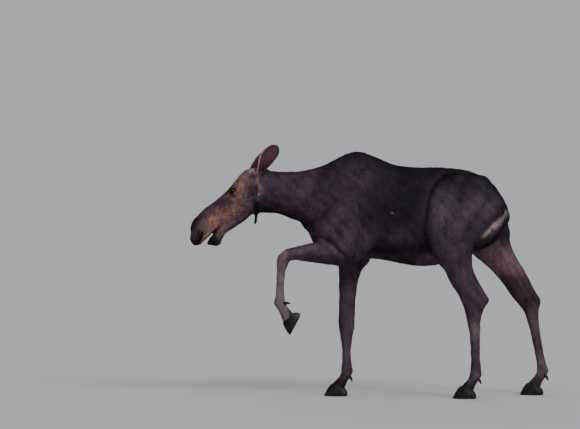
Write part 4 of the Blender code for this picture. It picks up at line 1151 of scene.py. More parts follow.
def body_markings(points, normals):
    """Colour of the trunk, neck and legs, before the fine mottle, with painted shade and painted
    highlights among the coat's own tones.
    """
    x, y, z = points.T
    nx, nz = normals[:, 0], normals[:, 2]
    wide = np.abs(x)
    head, legs, neck = parts(points)
    flank = ease(0.15, 0.55, np.abs(nx))
    inner = ease(0.05, 0.55, -nx * np.sign(x))
    colour = np.tile(np.array(COATS["body"]), (len(points), 1))
    low_belly = ease(1.03, 0.97, z) * ease(-0.14, -0.04, y) * ease(0.52, 0.4, y)
    # Painted shade: the back colour darkens the surfaces that face up, along the top of the back.
    colour = painted(colour, y, z, (("back", ease(0.3, 0.85, nz)),
        # Dark flank between the fold and the ribs: the coat's own dark tone and painted shade.
        ("flank", 0.45 * flank, (0.14, 1.22), (0.24, 0.34)),
        ("flank", 0.85 * flank, (0.27, 1.26), (0.1, 0.22)),
        ("leg", 0.7 * flank, (0.1, 1.09), (0.19, 0.11)),
        ("shoulder", 0.85 * low_belly * ease(0.0, 0.06, wide)),
        # Lighter top of the shoulder and lower thigh: the coat's lighter tone and painted highlight.
        ("shoulder", 0.35 * flank, (-0.14, 1.54), (0.15, 0.1)),
        ("thigh", 0.6 * flank, (0.58, 1.01), (0.09, 0.08)),
        # Darker where the surface faces down: the belly's dark coat and painted shade beneath.
        ("flank", 0.62 * ease(-0.25, -0.75, nz) * ease(0.2, 0.0, legs)),
        # Lighter shoulder and upper arm over its bulge: the coat's lighter tone and painted highlight.
        ("shoulder", 0.62 * flank, (-0.25, 1.27), (0.17, 0.25), -18.0),
        ("shoulder", 0.7 * flank, (-0.215, 1.1), (0.105, 0.11))))
    # Thigh, lightened by painted highlight over its lighter coat, and painted shade along the flank's fold
    # and in the long hollows of the hindquarter.
    thigh_y = y - np.where(x > 0, 0.0, THIGH_BACK)
    colour = painted(colour, thigh_y, z, (("thigh", 0.75 * flank, (0.57, 1.22), (0.19, 0.2), 25.0),
        ("thigh", 0.6 * flank, (0.45, 1.3), (0.06, 0.11)),
        ("thigh", 0.85 * flank, (0.75, 1.31), (0.09, 0.08)),
        # Painted shade in the crease along the flank's fold and in the long hollows of the hindquarter
        # behind it.
        ("flank", 0.6 * flank, [(0.56, 1.545), (0.44, 1.49), (0.385, 1.4),
            (0.372, 1.325), (0.35, 1.2), (0.352, 1.1), (0.385, 1.02), (0.452, 0.94)], 0.02),
        ("flank", 0.45 * flank, [(0.64, 1.5), (0.6, 1.44), (0.585, 1.36)], 0.022),
        ("flank", 0.45 * flank, [(0.79, 1.4), (0.74, 1.3), (0.65, 1.18), (0.62, 1.1)], 0.022)))
    # Neck, legs and the lifted arm.
    arm_low = ease(-0.56, -0.6, y) * ease(0.06, 0.09, x) * (z < 1.04) * (y > -0.74)
    behind = ease(0.1, 0.35, y) * (0.12 + 0.88 * ease(0.76, 0.9, z))
    colour = painted(colour, y, z, (("neck", 0.75 * neck * flank),
        ("flank", 0.75 * neck, [(-0.77, 1.31), (-0.62, 1.268), (-0.48, 1.19)], 0.055), ("leg", 0.8 * legs),
        # Paler lower legs, here and on the lifted cannon: the legs' own paler coat and painted highlight.
        ("shank", legs * 0.6 * ease(0.62, 0.42, z) * (0.55 + 0.45 * ripple(points, 0.12, 31))),
        ("thigh", 0.9 * flank * (x > 0.06), [(-0.3, 1.03), (-0.44, 1.02), (-0.58, 1.005)], 0.04),
        ("shank", arm_low * 0.85), ("inner", 0.85 * inner * ease(1.12, 0.96, z) * (1.0 - head) * behind),
        ("flank", 0.5 * inner * ease(0.88, 0.8, z) * ease(0.58, 0.66, z) * (y > 0.35))))
    colour = painted(colour, thigh_y, z, (("leg", 0.55 * inner, (0.69, 0.64), (0.07, 0.12)),))
    # The pale seam below the tail and the bare skin between the thighs.
    bare = bare_seam(points, normals)
    middle = blot(x, z, (0.0, 1.205), (0.026, 0.048)) * ease(0.78, 0.83, y)
    return painted(colour, y, z, (
        ("neck", 0.7 * inner * ease(1.0, 0.9, z) * (1.0 - head) * ease(0.2, 0.05, y)),
        ("soot", 0.75 * ease(0.17, 0.1, z)), ("inner", 0.6 * middle), ("pale", 1.5 * bare),
        ("pink", 0.6 * bare * ease(1.24, 1.18, z) + 0.1 * middle),
        ("inner", 0.55 * ease(0.1, 0.04, wide), (0.52, 0.98), (0.1, 0.09)),
        ("pale", 0.5 * ease(0.0, 0.02, x), [(0.118, 1.283), (0.134, 1.272)], 0.0035)))


def face_markings(points, normals):
    """Colour of the head, before the fine mottle."""
    x, y, z = points.T
    s, t = head_plane(points)
    wide, upward = np.abs(x), normals @ UP
    ragged = s + 0.016 * ripple(points, 0.045, 35) + 0.008 * ripple(points, 0.015, 36)
    aside = 1.0 - 0.85 * ease(0.45, 0.85, upward)
    # Faces of the muzzle that face up or down, as the lips do across the mouth's gap; painted shade
    # darkens them below.
    lip_gap_faces = (s > 0.44) * ease(0.25, 0.6, np.abs(upward))
    face = np.tile(np.array(COATS["face"]), (len(points), 1))
    face = painted(face, s, t, (
        # Bridge of the nose, forehead, behind the eye and under the jaw.
        ("slate", 0.75 * ease(0.2, 0.8, upward) * ease(0.12, 0.32, ragged + 0.4 * wide)),
        ("slate", 0.65, [(0.26, 0.072), (0.4, 0.066), (0.49, 0.05)], 0.022),
        ("brow", 0.95, (0.105, 0.095), (0.06, 0.045), -8.0),
        ("slate", 0.85, (0.086, -0.005), (0.036, 0.055), 12.0),
        ("slate", 0.7, (0.16, -0.105), (0.12, 0.03), 4.0),
        # Warm ring of the eye and the dark line over it.
        ("rust", 0.6 * aside, (0.225, 0.08), (0.03, 0.034)),
        ("rust", 0.5 * aside, (0.155, 0.075), (0.04, 0.03)),
        ("amber", 0.6, [(0.222, 0.04), (0.205, 0.029), (0.18, 0.032), (0.142, 0.046)], 0.014),
        ("soot", 0.45, [(0.19, 0.118), (0.212, 0.112), (0.226, 0.096)], 0.007),
        # Side of the muzzle, snout, lips and chin.
        ("rust", 0.8, (0.405, 0.0), (0.08, 0.034), -10.0), ("rust", 0.45, (0.3, -0.03), (0.08, 0.035)),
        ("snout", 0.94 * ease(0.49, 0.565, ragged + 0.3 * (t + 0.03))),
        ("lip", 0.8, [(0.58, -0.083), (0.53, -0.066), (0.47, -0.052), (0.415, -0.036)], 0.0135),
        ("snout", 0.9, (0.5, -0.13), (0.05, 0.036)), ("soot", 0.65, (0.505, -0.11), (0.045, 0.02)),
        ("rust", 0.45, (0.41, -0.1), (0.035, 0.03)), ("pale", 0.22, (0.452, -0.104), (0.007, 0.009)),
        # Painted shade along the parting of the lips at the mouth's corner.
        ("soot", 0.85, [(0.418, -0.067), (0.455, -0.07)], 0.006),
        # Painted shade inside the mouth's gap, on the lips' faces turned up or down.
        ("soot", 0.95 * lip_gap_faces, (0.52, -0.088), (0.08, 0.024))))
    patch = blot(y, z, (-0.828, 1.411), (0.029, 0.046))
    face = painted(face, y, z, (("face", 0.62 * ease(-1.196, -1.206, y), (-1.228, 1.12), (0.032, 0.044)),
        ("soot", 0.9 * ease(0.01, 0.024, wide) * blot(s, t, (0.126, 0.116), (0.012, 0.013))),
        ("soot", 0.4, (-0.968, 1.428), (0.034, 0.032)), ("soot", 0.75, (-0.957, 1.384), (0.016, 0.012)),
        ("slate", 0.8 * patch)))
    face = painted(face * (1.0 - 0.4 * patch)[:, None], s, t, (
        ("soot", 0.45, [(0.395, -0.112), (0.3, -0.124), (0.2, -0.128)], 0.014),
        ("brow", 0.35, [(0.24, 0.01), (0.262, -0.03), (0.246, -0.066)], 0.008),
        ("soot", 0.6, (0.486, -0.012), (0.006, 0.007)), ("soot", 0.6, (0.494, 0.016), (0.006, 0.006)),
        # Painted highlight on the top of the crown, to each side of its middle.
        ("pale", 0.85 * ease(0.012, 0.034, wide), (0.004, 0.12), (0.022, 0.018))))
    return painted(face, y, z, (("soot", 0.55, (-0.82, 1.523), (0.013, 0.012)),))


def markings(points, normals):
    """Colour of the coat at each point: a ground colour for each part, with soft ovals and bands of other
    colours laid over it, some of them painted shade and painted highlights, and a fine mottle."""
    _, y, z = points.T
    s, t = head_plane(points)
    head = parts(points)[0]
    share = ease(-0.752, -0.808, y + 0.02 * ripple(points, 0.06, 34) + 0.05 * ease(1.4, 1.3, z))[:, None]
    colour = (body_markings(points, normals) * (1.0 - share) + face_markings(points, normals) * share)
    hangs = ease(-0.118, -0.135, t) * blot(s, t, (0.165, -0.16), (0.06, 0.08))
    colour = painted(colour, y, z, (
        ("brow", 0.55, [(-0.796, 1.512), (-0.777, 1.462), (-0.768, 1.412)], 0.011),
        ("pale", 0.75, (-0.781, 1.402), (0.007, 0.007)), ("soot", 0.7, (-0.792, 1.335), (0.022, 0.03)),
        ("soot", 0.75 * hangs * (y < -0.74)), ("soot", 0.55 * ease(0.895, 0.925, y) * ease(1.25, 1.3, z))))
    mottle = (1.0 + 0.18 * ripple(points, 0.09, 41) + 0.16 * ripple(points, 0.034, 42)
            + 0.14 * ripple(points, 0.014, 43) + 0.16 * head * ripple(points, 0.022, 46))
    curls = head * blot(s, t, (0.2, -0.065), (0.13, 0.055), 5.0)
    mottle = mottle + 0.8 * curls * np.clip(
        1.6 * ripple(points, 0.01, 44) + 0.6 * ripple(points, 0.018, 45), -1.0, 1.4)
    return np.maximum(colour * np.clip(mottle, 0.5, 1.6)[:, None], 0.002)


# ---------------- lie of the coat
def lie(points, normals):
    """Direction in which the hair lies: back and down on the trunk and neck,
    from nose to poll on the head, down the legs, along the lifted forearm."""
    x, y, z = points.T
    head, legs, neck = parts(points)
    fall = np.maximum(ease(1.42, 1.0, z) * ease(0.3, 0.55, y),
            ease(1.3, 0.98, z) * ease(0.02, -0.12, y) * ease(-0.42, -0.3, y))
    fall = np.maximum(fall, legs)[:, None]
    trunk = np.array((0.0, 1.0, -0.3)) - neck[:, None] * np.array((0.0, 0.1, 0.25))
    way = trunk * (1.0 - fall) + np.array((0.0, 0.1, -1.0)) * fall
    arm = (ease(0.06, 0.09, x) * ease(-0.22, -0.36, y) * (y > -0.74)
           * ease(1.17, 1.12, z) * ease(0.9, 0.95, z))[:, None]
    way = way * (1.0 - arm) + np.array((0.0, -1.0, -0.15)) * arm
    face = -ALONG - UP * 0.16
    face = face + UP * (0.3 * ease(0.53, 0.62, head_plane(points)[0]))[:, None]
    way = way * (1.0 - head[:, None]) + face * head[:, None]
    tail = ease(0.885, 0.905, y) * ease(1.24, 1.28, z) * ease(0.06, 0.04, np.abs(x))
    hang = np.maximum(on_bell(points, -0.112, -0.128), tail)[:, None]
    way = way * (1.0 - hang) + np.array((0.0, 0.05, -1.0)) * hang
    for _, _, fetlock, flex in FEET:
        forward, down = foot_axes(flex)
        local = points - np.array(fetlock)
        foot = (ease(0.16, 0.12, np.linalg.norm(local, axis=1)) * ease(-0.01, 0.03, local @ down))[:, None]
        slope = unit(forward * CORONET[0] + down * CORONET[1])
        way = way * (1.0 - foot) + slope * foot
    return flat_on(way, normals)


def lock_sizes(points, normals):
    """Length, width and tip height of the locks at each point."""
    x, y, z = points.T
    head, legs, neck = parts(points)
    length = 0.0175 + 0.0025 * neck
    crest = ease(0.55, 0.9, normals[:, 2]) * ease(-0.74, -0.66, y) * ease(0.1, -0.05, y)
    length += 0.009 * crest * ease(0.1, 0.05, np.abs(x))
    belly = ease(-0.35, -0.8, normals[:, 2]) * (y > -0.4)
    length += 0.005 * belly * (1.0 - legs)
    length += (0.012 - length) * legs
    muzzle = ease(0.12, 0.5, head_plane(points)[0])
    length += (0.0105 - 0.0045 * muzzle - length) * head
    tail = ease(0.89, 0.915, y) * ease(1.22, 1.26, z) * ease(0.06, 0.04, np.abs(x))
    length += (0.022 - length) * tail
    bell = on_bell(points, -0.118, -0.135)
    length += (0.013 - length) * bell
    throat = neck * ease(-0.2, -0.7, normals[:, 2])
    length += 0.002 * throat
    back = legs * ease(0.3, 0.8, normals[:, 1]) * (1.0 - head)
    length += 0.004 * back
    for _, _, fetlock, flex in FEET:
        past, near, _ = past_coronet(points, fetlock, flex)
        length += 0.007 * ease(-0.016, -0.006, past) * near
    climbs = ease(0.04, 0.3, -normals[:, 1]) * ease(0.0, 0.1, y) * (1.0 - legs)
    length *= 1.0 - 0.5 * climbs
    width = 0.0006 + 0.105 * length
    height = coat_depth(points) * (0.29 + 0.15 * tail + 0.1 * crest
            + 0.04 * throat + 0.2 * back - 0.03 * head - 0.1 * bell)
    return length, width, height


# ---------------- unwrap
CHARTS = {"trunk": (0.01, 0.01, 0.58, 0.6), "head": (0.6, 0.01, 0.39, 0.46),
        "arm": (0.6, 0.49, 0.39, 0.12), "hind_left": (0.01, 0.63, 0.32, 0.17),
        "hind_right": (0.34, 0.63, 0.32, 0.17), "fore_right": (0.01, 0.82, 0.32, 0.17),
        "fore_left": (0.34, 0.82, 0.32, 0.17), "hanging": (0.68, 0.63, 0.31, 0.17)}


def near_arm(x, y):
    """Whether places lie over the lifted forearm, before the elbow."""
    return (x > 0.075) & (y < -0.4) & (y > -0.74)


def chart_of(points):
    """Number of the chart on which each point is unwrapped."""
    x, y, z = points.T
    s, t = head_plane(points)
    bell = (t < -0.125) & (y < -0.74) & (y > -1.0) & (s > 0.05)
    tail = (y > 0.925) & (z > 1.2) & (np.abs(x) < 0.05)
    behind = (y > 0.33) & (z < 1.02)
    chart = np.zeros(len(points), int)
    for name, inside in (("head", (y < -0.785) & (z > 0.9)), ("arm", near_arm(x, y) & (z < 1.14)),
            ("fore_left", near_arm(x, y) & (z < 0.93)), ("fore_right", (x < 0.0) & (y < 0.1) & (z < 0.96)),
            ("hind_left", behind & (x > 0.0)),
            ("hind_right", behind & (x < 0.0)), ("hanging", bell | tail)):
        chart[inside] = list(CHARTS).index(name)
    return chart


def on_chart(points, name):
    """Place along a part's middle line and angle round it, each 0 to 1."""
    x, y, z = points.T
    s, t = head_plane(points)

    def middle(rows, at):
        """Half way between a part's two edges, at places along it."""
        rows = np.array(sorted(rows))
        return np.interp(at, rows[:, 0], (rows[:, 1] + rows[:, 2]) / 2.0)

    if name == "head":
        run, a, b = s / 0.68 + 0.08, x, t - 0.01
    elif name == "trunk":
        run, a, b = (y + 0.82) / 1.85, x, z - middle(NECK[2:] + TRUNK[3:], y)
    elif name == "arm":
        run, a, b = (y + 0.7) / 0.34, x - 0.168, z - middle(FORE_LEFT_ARM, y)
    elif name == "hanging":
        run, a, b = (z - 1.1) / 0.4, x, y - np.where(y > 0, 0.93, -0.8)
    else:
        rows = np.array(sorted({"hind_left": HIND_LEFT, "hind_right": HIND_RIGHT, "fore_right": FORE_RIGHT,
                "fore_left": FORE_LEFT_CANNON}[name]))
        run, a = z / 1.06, x - np.interp(z, rows[:, 0], rows[:, 3])
        b = y - middle(rows.tolist(), z)
    return run, np.arctan2(a, b) / TURN + 0.5


def on_sheet(box, run, turn):
    """Place in a chart's rectangle of a length along a part and a turn round it."""
    left, low, wide, tall = box
    return np.stack([left + wide * np.clip(run, 0.0, 1.0), low + tall * (0.02 + 0.96 * turn)], -1)


def unwrapped(points):
    """Place of each point on the unwrap: its chart's rectangle filled by the
    length along the part and the angle round it."""
    chart = chart_of(points)
    place = np.zeros((len(points), 2))
    for index, (name, box) in enumerate(CHARTS.items()):
        pick = chart == index
        if pick.any():
            place[pick] = on_sheet(box, *on_chart(points[pick], name))
    return place


def unwrap_skin(skin):
    """The same unwrap for the skin: each face lies on its middle's chart, and
    corners past the seam are kept on the middle's side of it."""
    points, triangles = points_of(skin), triangles_of(skin)
    centre = points[triangles].mean(1)
    chart = chart_of(centre)
    corner = np.zeros((len(triangles), 3, 2))
    for index, (name, box) in enumerate(CHARTS.items()):
        pick = np.flatnonzero(chart == index)
        if not len(pick):
            continue
        run, turn = on_chart(points, name)
        middle = on_chart(centre[pick], name)[1][:, None]
        turns = middle + (turn[triangles[pick]] - middle + 0.5) % 1.0 - 0.5
        corner[pick] = on_sheet(box, run[triangles[pick]], np.clip(turns, -0.02, 1.02))
    add_uv(skin, corner)


# ---------------- locks
def scatter(points, triangles, normals, weight, count, seed):
    """Random places on triangles, as many per area as the weight says: their
    faces' corners, the shares of these, the places and the normals there."""
    rng = np.random.default_rng(seed)
    area = 0.5 * np.linalg.norm(face_normals(points, triangles), axis=1) * weight
    steps = np.cumsum(area) / area.sum()
    face = np.searchsorted(steps, (np.arange(count) + rng.random(count)) / count)
    face = np.minimum(face, len(triangles) - 1)
    a, b = rng.random((2, count))
    over = a + b > 1.0
    a, b = np.where(over, 1.0 - a, a), np.where(over, 1.0 - b, b)
    share = np.stack([1.0 - a - b, a, b], -1)
    corner = triangles[face]
    return corner, share, mixed(points, corner, share), unit(mixed(normals, corner, share))


def pressed(tips, rise, points, normals):
    """Tips that fly off past a bend, brought down.  The skin's points are
    averaged by the cells of a grid, coarse and then fine; a tip higher over its
    cell's mean plane than it should be moves down along that plane's normal.
    Cells whose normals disagree, as between the lips, are left alone."""
    for cell, slack in ((0.036, 0.004), (0.016, 0.0008)):
        def keys(places):
            """Number of the cell in which each place lies."""
            step = np.floor(places / cell).astype(np.int64) + 1000
            return (step[:, 0] * 4000 + step[:, 1]) * 4000 + step[:, 2]
        own, inverse, number = np.unique(keys(points), return_inverse=True, return_counts=True)
        mean = np.stack([np.bincount(inverse, points[:, k]) for k in range(3)], -1) / number[:, None]
        up = np.stack([np.bincount(inverse, normals[:, k]) for k in range(3)], -1) / number[:, None]
        agree = np.linalg.norm(up, axis=1) > 0.9
        up = unit(up)
        found = np.minimum(np.searchsorted(own, keys(tips)), len(own) - 1)
        over = np.einsum("ij,ij->i", tips - mean[found], up[found]) - rise - slack
        over = np.clip(over, 0.0, 0.012) * ((own[found] == keys(tips)) & agree[found])
        tips = tips - up[found] * over[:, None]
    return tips


def locks(name, roots, normals, way, length, width, height, colour, places, seed,
        sway=0.2, tip_shade=1.25, bed=None):
    """Joined pointed locks.  Each is a leaf of five points: root, a raised
    ridge with an edge on each side at 45% of its length, and a tip that stands
    off the skin by its height.  Directions waver with a smooth field and by
    chance; the root is darker than the tip."""
    rng = np.random.default_rng(seed)
    count = len(roots)
    angle = sway * (1.1 * ripple(roots, 0.055, seed + 1) + 0.6 * ripple(
        roots, 0.02, seed + 2) + 0.8 * rng.normal(size=count))
    side = np.cross(normals, way)
    way = way * np.cos(angle)[:, None] + side * np.sin(angle)[:, None]
    side = np.cross(normals, way)
    long = (length * rng.uniform(0.7, 1.25, count))[:, None]
    wide = (width * rng.uniform(0.7, 1.3, count))[:, None]
    rise = (height * rng.uniform(0.55, 1.1, count))[:, None]
    bend = (long * rng.normal(0.0, 0.06, count)[:, None])
    root = roots - normals * (0.0006 + 0.03 * wide)
    belly = roots + way * long * 0.45 + normals * rise * 0.62 + side * bend
    tip = roots + way * long + normals * rise + side * bend * 2.2
    if bed:
        belly = pressed(belly, 0.62 * rise[:, 0], *bed)
        tip = pressed(tip, rise[:, 0], *bed)
    points = np.stack([root, belly - side * wide * 0.5 - normals * wide * 0.1,
            belly + normals * wide * 0.16, belly + side * wide * 0.5 - normals * wide * 0.1, tip], 1)
    leaf = np.array([(0, 1, 2), (0, 2, 3), (1, 4, 2), (2, 4, 3)])
    faces = (np.arange(count)[:, None, None] * 5 + leaf).reshape(-1, 3)
    coat = mesh_object(name, points.reshape(-1, 3), [faces])
    shade = np.array((0.62, 0.95, 1.02, 0.95, tip_shade))
    tone = rng.normal(1.0, 0.1, count) * (1.0 + 0.55 * (rng.random(count) > 0.985))
    tint = colour[:, None, :] * (shade[None, :] * tone[:, None])[..., None]
    put(coat, "tint", np.clip(tint, 0.001, 1.0).reshape(-1, 3))
    patch = np.array([(0.0, 0.5), (0.45, 0.0), (0.45, 0.5), (0.45, 1.0), (1.0, 0.5)])
    spots = places[:, None, :] + (patch - 0.5) * 0.003
    add_uv(coat, spots[:, leaf.ravel(), :])
    return coat


def coat_areas(points):
    """Which coat piece each place belongs to."""
    x, y, z = points.T
    behind = (y > 0.46) | ((y > 0.3) & (z < 0.95))
    arm = (x > 0.07) & (y < -0.4) & (z < 1.14)
    area = np.where(x > 0, 0, 1)
    area[behind] = np.where(x > 0, 2, 3)[behind]
    area[((z < 1.02) & (y < 0.12)) | arm] = 4
    area[(y < -0.36) & (z > 1.04) & ~arm] = 5
    area[(y < -0.785) & (z > 0.9)] = 6
    return area


COAT_PIECES = (("coat_side_left", 44000), ("coat_side_right", 44000),
        ("coat_hind_left", 42000), ("coat_hind_right", 42000),
        ("coat_fore", 40000), ("coat_neck", 38000), ("coat_head", 49000))


def skin_cover(points):
    """Share of locks at each place: none under the lids, in the nostrils, in
    the mouth or on the coronets' flats, more on the face."""
    s, t = head_plane(points)
    cover = np.ones(len(points))
    for side in EYES:
        a, b, c = by_eye(points, side)
        cover[(c > -0.02) & (np.hypot(a / 0.03, b / 0.0215) < 1.0)] = 0.0
    cover[(stripe(s, t, NOSTRIL, 0.011) > 0.4) & (np.abs(points[:, 0]) > 0.02)] = 0.0
    wedge = (s > 0.462) & (t < -0.072 - 0.1 * (s - 0.452)) & (t > -0.076 - 0.33 * (s - 0.452)) & (s < 0.6)
    cover[wedge] = 0.0
    for _, _, fetlock, flex in FEET:
        past, near, _ = past_coronet(points, fetlock, flex)
        cover[near & (past > 0.0005)] = 0.0
    muzzle = ease(0.25, 0.5, s) * (points[:, 1] < -0.785)
    return cover * (1.0 + 1.4 * muzzle)


def make_coat(skin):
    """Locks over the whole skin, in one piece for each area."""
    points, triangles = points_of(skin), triangles_of(skin)
    normals = point_normals(points, triangles)
    centre = points[triangles].mean(1)
    cover = skin_cover(centre)
    area = coat_areas(centre)
    pieces = []
    for index, (name, count) in enumerate(COAT_PIECES):
        count = count
        *_, roots, normal = scatter(points, triangles, normals, cover * (area == index), count,
                100 + index)
        length, width, height = lock_sizes(roots, normal)
        colour = markings(roots, normal)
        pieces.append(locks(name, roots, normal, lie(roots, normal), length, width,
                height, colour, unwrapped(roots), 200 + 10 * index, bed=(points, normals)))
    return pieces


# ---------------- finishes
def feed(tree, made, inputs):
    """Give a node its inputs: each a value, or a socket that feeds it."""
    for key, value in inputs.items():
        if isinstance(value, bpy.types.NodeSocket):
            tree.links.new(value, made.inputs[key])
        elif value is not None:
            made.inputs[key].default_value = value


def node(tree, kind, *places, **named):
    """A node with inputs given by place or by name, where _ stands for a space,
    and settings of its own."""
    made = tree.nodes.new("ShaderNode" + kind)
    inputs = dict(enumerate(places))
    for key, value in named.items():
        if key.replace("_", " ") in made.inputs:
            inputs[key.replace("_", " ")] = value
        else:
            setattr(made, key, value)
    feed(tree, made, inputs)
    return made


def new_material(name):
    """A material and its node tree."""
    mat = bpy.data.materials.new(name)
    mat.use_nodes = True
    return mat, mat.node_tree


def dress(mat, **named):
    """Give the material's shader its inputs, where _ stands for a space."""
    shader = mat.node_tree.nodes["Principled BSDF"]
    feed(mat.node_tree, shader, {key.replace("_", " "): value for key, value in named.items()})
    return mat


def attribute(tree, name, output="Fac"):
    """What a mesh stores under a name, as a socket."""
    return node(tree, "Attribute", attribute_name=name).outputs[output]


def speckled(tree, value, low, high):
    """The piece's own tint, scaled from low to high by a value."""
    shade = node(tree, "MapRange", Value=value, To_Min=low, To_Max=high)
    return node(tree, "VectorMath", attribute(tree, "tint", "Color"), operation="SCALE",
            Scale=shade.outputs["Result"]).outputs["Vector"]


def bump(tree, height, strength, distance):
    """Normal of a surface raised by a height."""
    return node(tree, "Bump", Strength=strength, Distance=distance, Height=height).outputs["Normal"]


def grain_group():
    """Colour mottle and height of short hair: noise drawn out along the coat's
    lie, along the trunk, along the head and down the legs, mixed by masks."""
    group = bpy.data.node_groups.new("hair_grain", "ShaderNodeTree")
    for name, kind, value in (("Tint", "Color", None), ("Head", "Float", 0.0),
            ("Limb", "Float", 0.0), ("Fineness", "Float", 1.0), ("Contrast", "Float", 0.35)):
        socket = group.interface.new_socket(name, in_out="INPUT", socket_type="NodeSocket" + kind)
        if value is not None:
            socket.default_value = value
    for name, kind in (("Color", "Color"), ("Height", "Float"), ("Roughness", "Float")):
        group.interface.new_socket(name, in_out="OUTPUT", socket_type="NodeSocket" + kind)
    given = group.nodes.new("NodeGroupInput").outputs
    place = node(group, "TexCoord").outputs["Object"]
    streaks = []
    for turn, scale in ((0.0, (0.004, 0.03, 0.004)), (HEAD_DROP, (0.0028, 0.016, 0.0028)),
            (0.0, (0.0034, 0.0034, 0.022))):
        drawn = node(group, "Mapping", vector_type="TEXTURE", Vector=place,
                Rotation=(turn, 0.0, 0.0), Scale=scale)
        noise = node(group, "TexNoise", Vector=drawn.outputs["Vector"],
                Scale=given["Fineness"], Detail=3.0, Roughness=0.6)
        streaks.append(noise.outputs["Fac"])
    value = streaks[0]
    for streak, mask in ((streaks[1], "Head"), (streaks[2], "Limb")):
        value = node(group, "Mix", given[mask], None, value, streak, data_type="FLOAT").outputs[0]
    centred = node(group, "Math", value, 0.5, operation="SUBTRACT")
    spread = node(group, "Math", centred.outputs[0], given["Contrast"], 1.0, operation="MULTIPLY_ADD")
    shade = node(group, "VectorMath", given["Tint"], operation="SCALE", Scale=spread.outputs[0])
    rough = node(group, "MapRange", Value=value, From_Min=0.3, From_Max=0.7, To_Min=0.7, To_Max=0.52)
    feed(group, group.nodes.new("NodeGroupOutput"), {"Color": shade.outputs["Vector"], "Height": value,
        "Roughness": rough.outputs["Result"]})
    return group


def hair_material(name, grain, fineness, contrast, raised=0.0, depth=0.0, head=None, limb=None):
    """Coat finish: the piece's own tint through the hair grain, soft gloss.
    The head's and limbs' masks are numbers or names of attributes."""
    mat, tree = new_material(name)
    head, limb = (attribute(tree, mask) if isinstance(mask, str) else mask for mask in (head, limb))
    hair = node(tree, "Group", node_tree=grain, Tint=attribute(tree, "tint", "Color"),
            Head=head, Limb=limb, Fineness=fineness, Contrast=contrast).outputs
    if raised:
        dress(mat, Normal=bump(tree, hair["Height"], raised, depth))
    return dress(mat, Base_Color=hair["Color"], Roughness=hair["Roughness"], Specular_IOR_Level=0.22)


def bare_material():
    """Bare damp skin: the piece's tint with a fine net of creases."""
    mat, tree = new_material("bare_damp_skin")
    place = node(tree, "TexCoord").outputs["Object"]
    cells = node(tree, "TexVoronoi", feature="DISTANCE_TO_EDGE", Vector=place,
            Scale=900.0).outputs["Distance"]
    soft = node(tree, "TexNoise", Vector=place, Scale=315.0, Detail=4.0)
    gloss = node(tree, "MapRange", Value=cells, From_Max=0.3, To_Min=0.6, To_Max=0.45)
    return dress(mat, Base_Color=speckled(tree, soft.outputs["Fac"], 0.55, 1.45),
            Roughness=gloss.outputs["Result"], Normal=bump(tree, cells, 0.4, 0.0006),
            Specular_IOR_Level=0.22, Coat_Weight=0.04, Coat_Roughness=0.15)


def eye_material():
    """Clear coat over the painted iris."""
    mat, tree = new_material("wet_eye")
    place = node(tree, "TexCoord").outputs["Object"]
    fleck = node(tree, "TexNoise", Vector=place, Scale=900.0, Detail=3.0)
    return dress(mat, Base_Color=speckled(tree, fleck.outputs["Fac"], 0.7, 1.3),
            Roughness=0.45, Specular_IOR_Level=0.1, Coat_Weight=1.0, Coat_IOR=1.6, Coat_Roughness=0.02)


def ramp(tree, value, *stops):
    """Colour between two stops, each a position and a colour."""
    made = node(tree, "ValToRGB", Fac=value)
    for element, (position, colour) in zip(made.color_ramp.elements, stops):
        element.position = position
        element.color = (*colour, 1.0)
    return made.outputs["Color"]


def horn_material():
    """Dark horn: streaks down the wall under soft clouds of a paler tone."""
    mat, tree = new_material("claw_horn")
    place = node(tree, "TexCoord").outputs["Object"]
    down = node(tree, "Mapping", Vector=place, Scale=(300.0, 300.0, 16.0))
    streak = node(tree, "TexNoise", Vector=down.outputs["Vector"], Scale=1.0, Detail=4.0,
            Roughness=0.65).outputs["Fac"]
    cloud = node(tree, "TexNoise", Vector=place, Scale=45.0, Detail=3.0).outputs["Fac"]
    both = node(tree, "Math", streak, cloud, operation="MULTIPLY").outputs[0]
    gloss = node(tree, "MapRange", Value=cloud, To_Min=0.28, To_Max=0.58)
    return dress(mat, Base_Color=ramp(tree, both, (0.12, (0.008, 0.007, 0.007)),
            (0.45, (0.042, 0.033, 0.034))),
            Normal=bump(tree, streak, 0.25, 0.0008), Roughness=gloss.outputs["Result"])


def floor_material():
    """Pale matt paper with a barely visible tooth."""
    mat, tree = new_material("pale_floor")
    place = node(tree, "TexCoord").outputs["Object"]
    cloud = node(tree, "TexNoise", Vector=place, Scale=1.5, Detail=3.0).outputs["Fac"]
    return dress(mat, Base_Color=ramp(tree, cloud, (0.0, (0.52, 0.535, 0.545)),
            (1.0, (0.545, 0.555, 0.56))), Roughness=0.85)


# ---------------- ears' coat
def ear_colours(u, v, inside):
    """Tint over an ear's leaf: cream front rim that fades toward the tip, brown
    within with darker roots, dark back and rear edge."""
    if not inside:
        tint = np.tile(np.array((0.034, 0.019, 0.027)), (len(u), 1))
        return lay(tint, "cream", 0.35 * ease(0.95, 1.0, v) * ease(1.0, 0.6, u))
    tint = np.tile(np.array((0.142, 0.064, 0.078)), (len(u), 1))
    veins = np.sin(v * 21.0 + 2.0 * np.sin(3.0 * v + 2.0 * u))
    tint = tint * (1.0 + 0.22 * veins * ease(0.1, 0.4, u))[:, None]
    return painted(tint, u, v, (("soot", 0.85, (0.05, 0.0), (0.2, 0.6)),
        ("neck", 0.55 * ease(0.25, 0.9, -v) * ease(0.9, 0.5, u)),
        ("neck", 0.45 * ease(0.35, 0.75, v) * ease(0.95, 0.85, v)),
        ("cream", 0.9 * ease(0.9, 0.97, v) * ease(1.04, 0.7, u)), ("cream", 0.3 * ease(0.94, 0.99, u)),
        ("cream", 0.35 * ease(0.9, 0.97, -v) * ease(0.3, 0.05, u))))


EAR_LOCKS = {"inside": (7000, 0), "back": (9000, 50)}   # count and seed


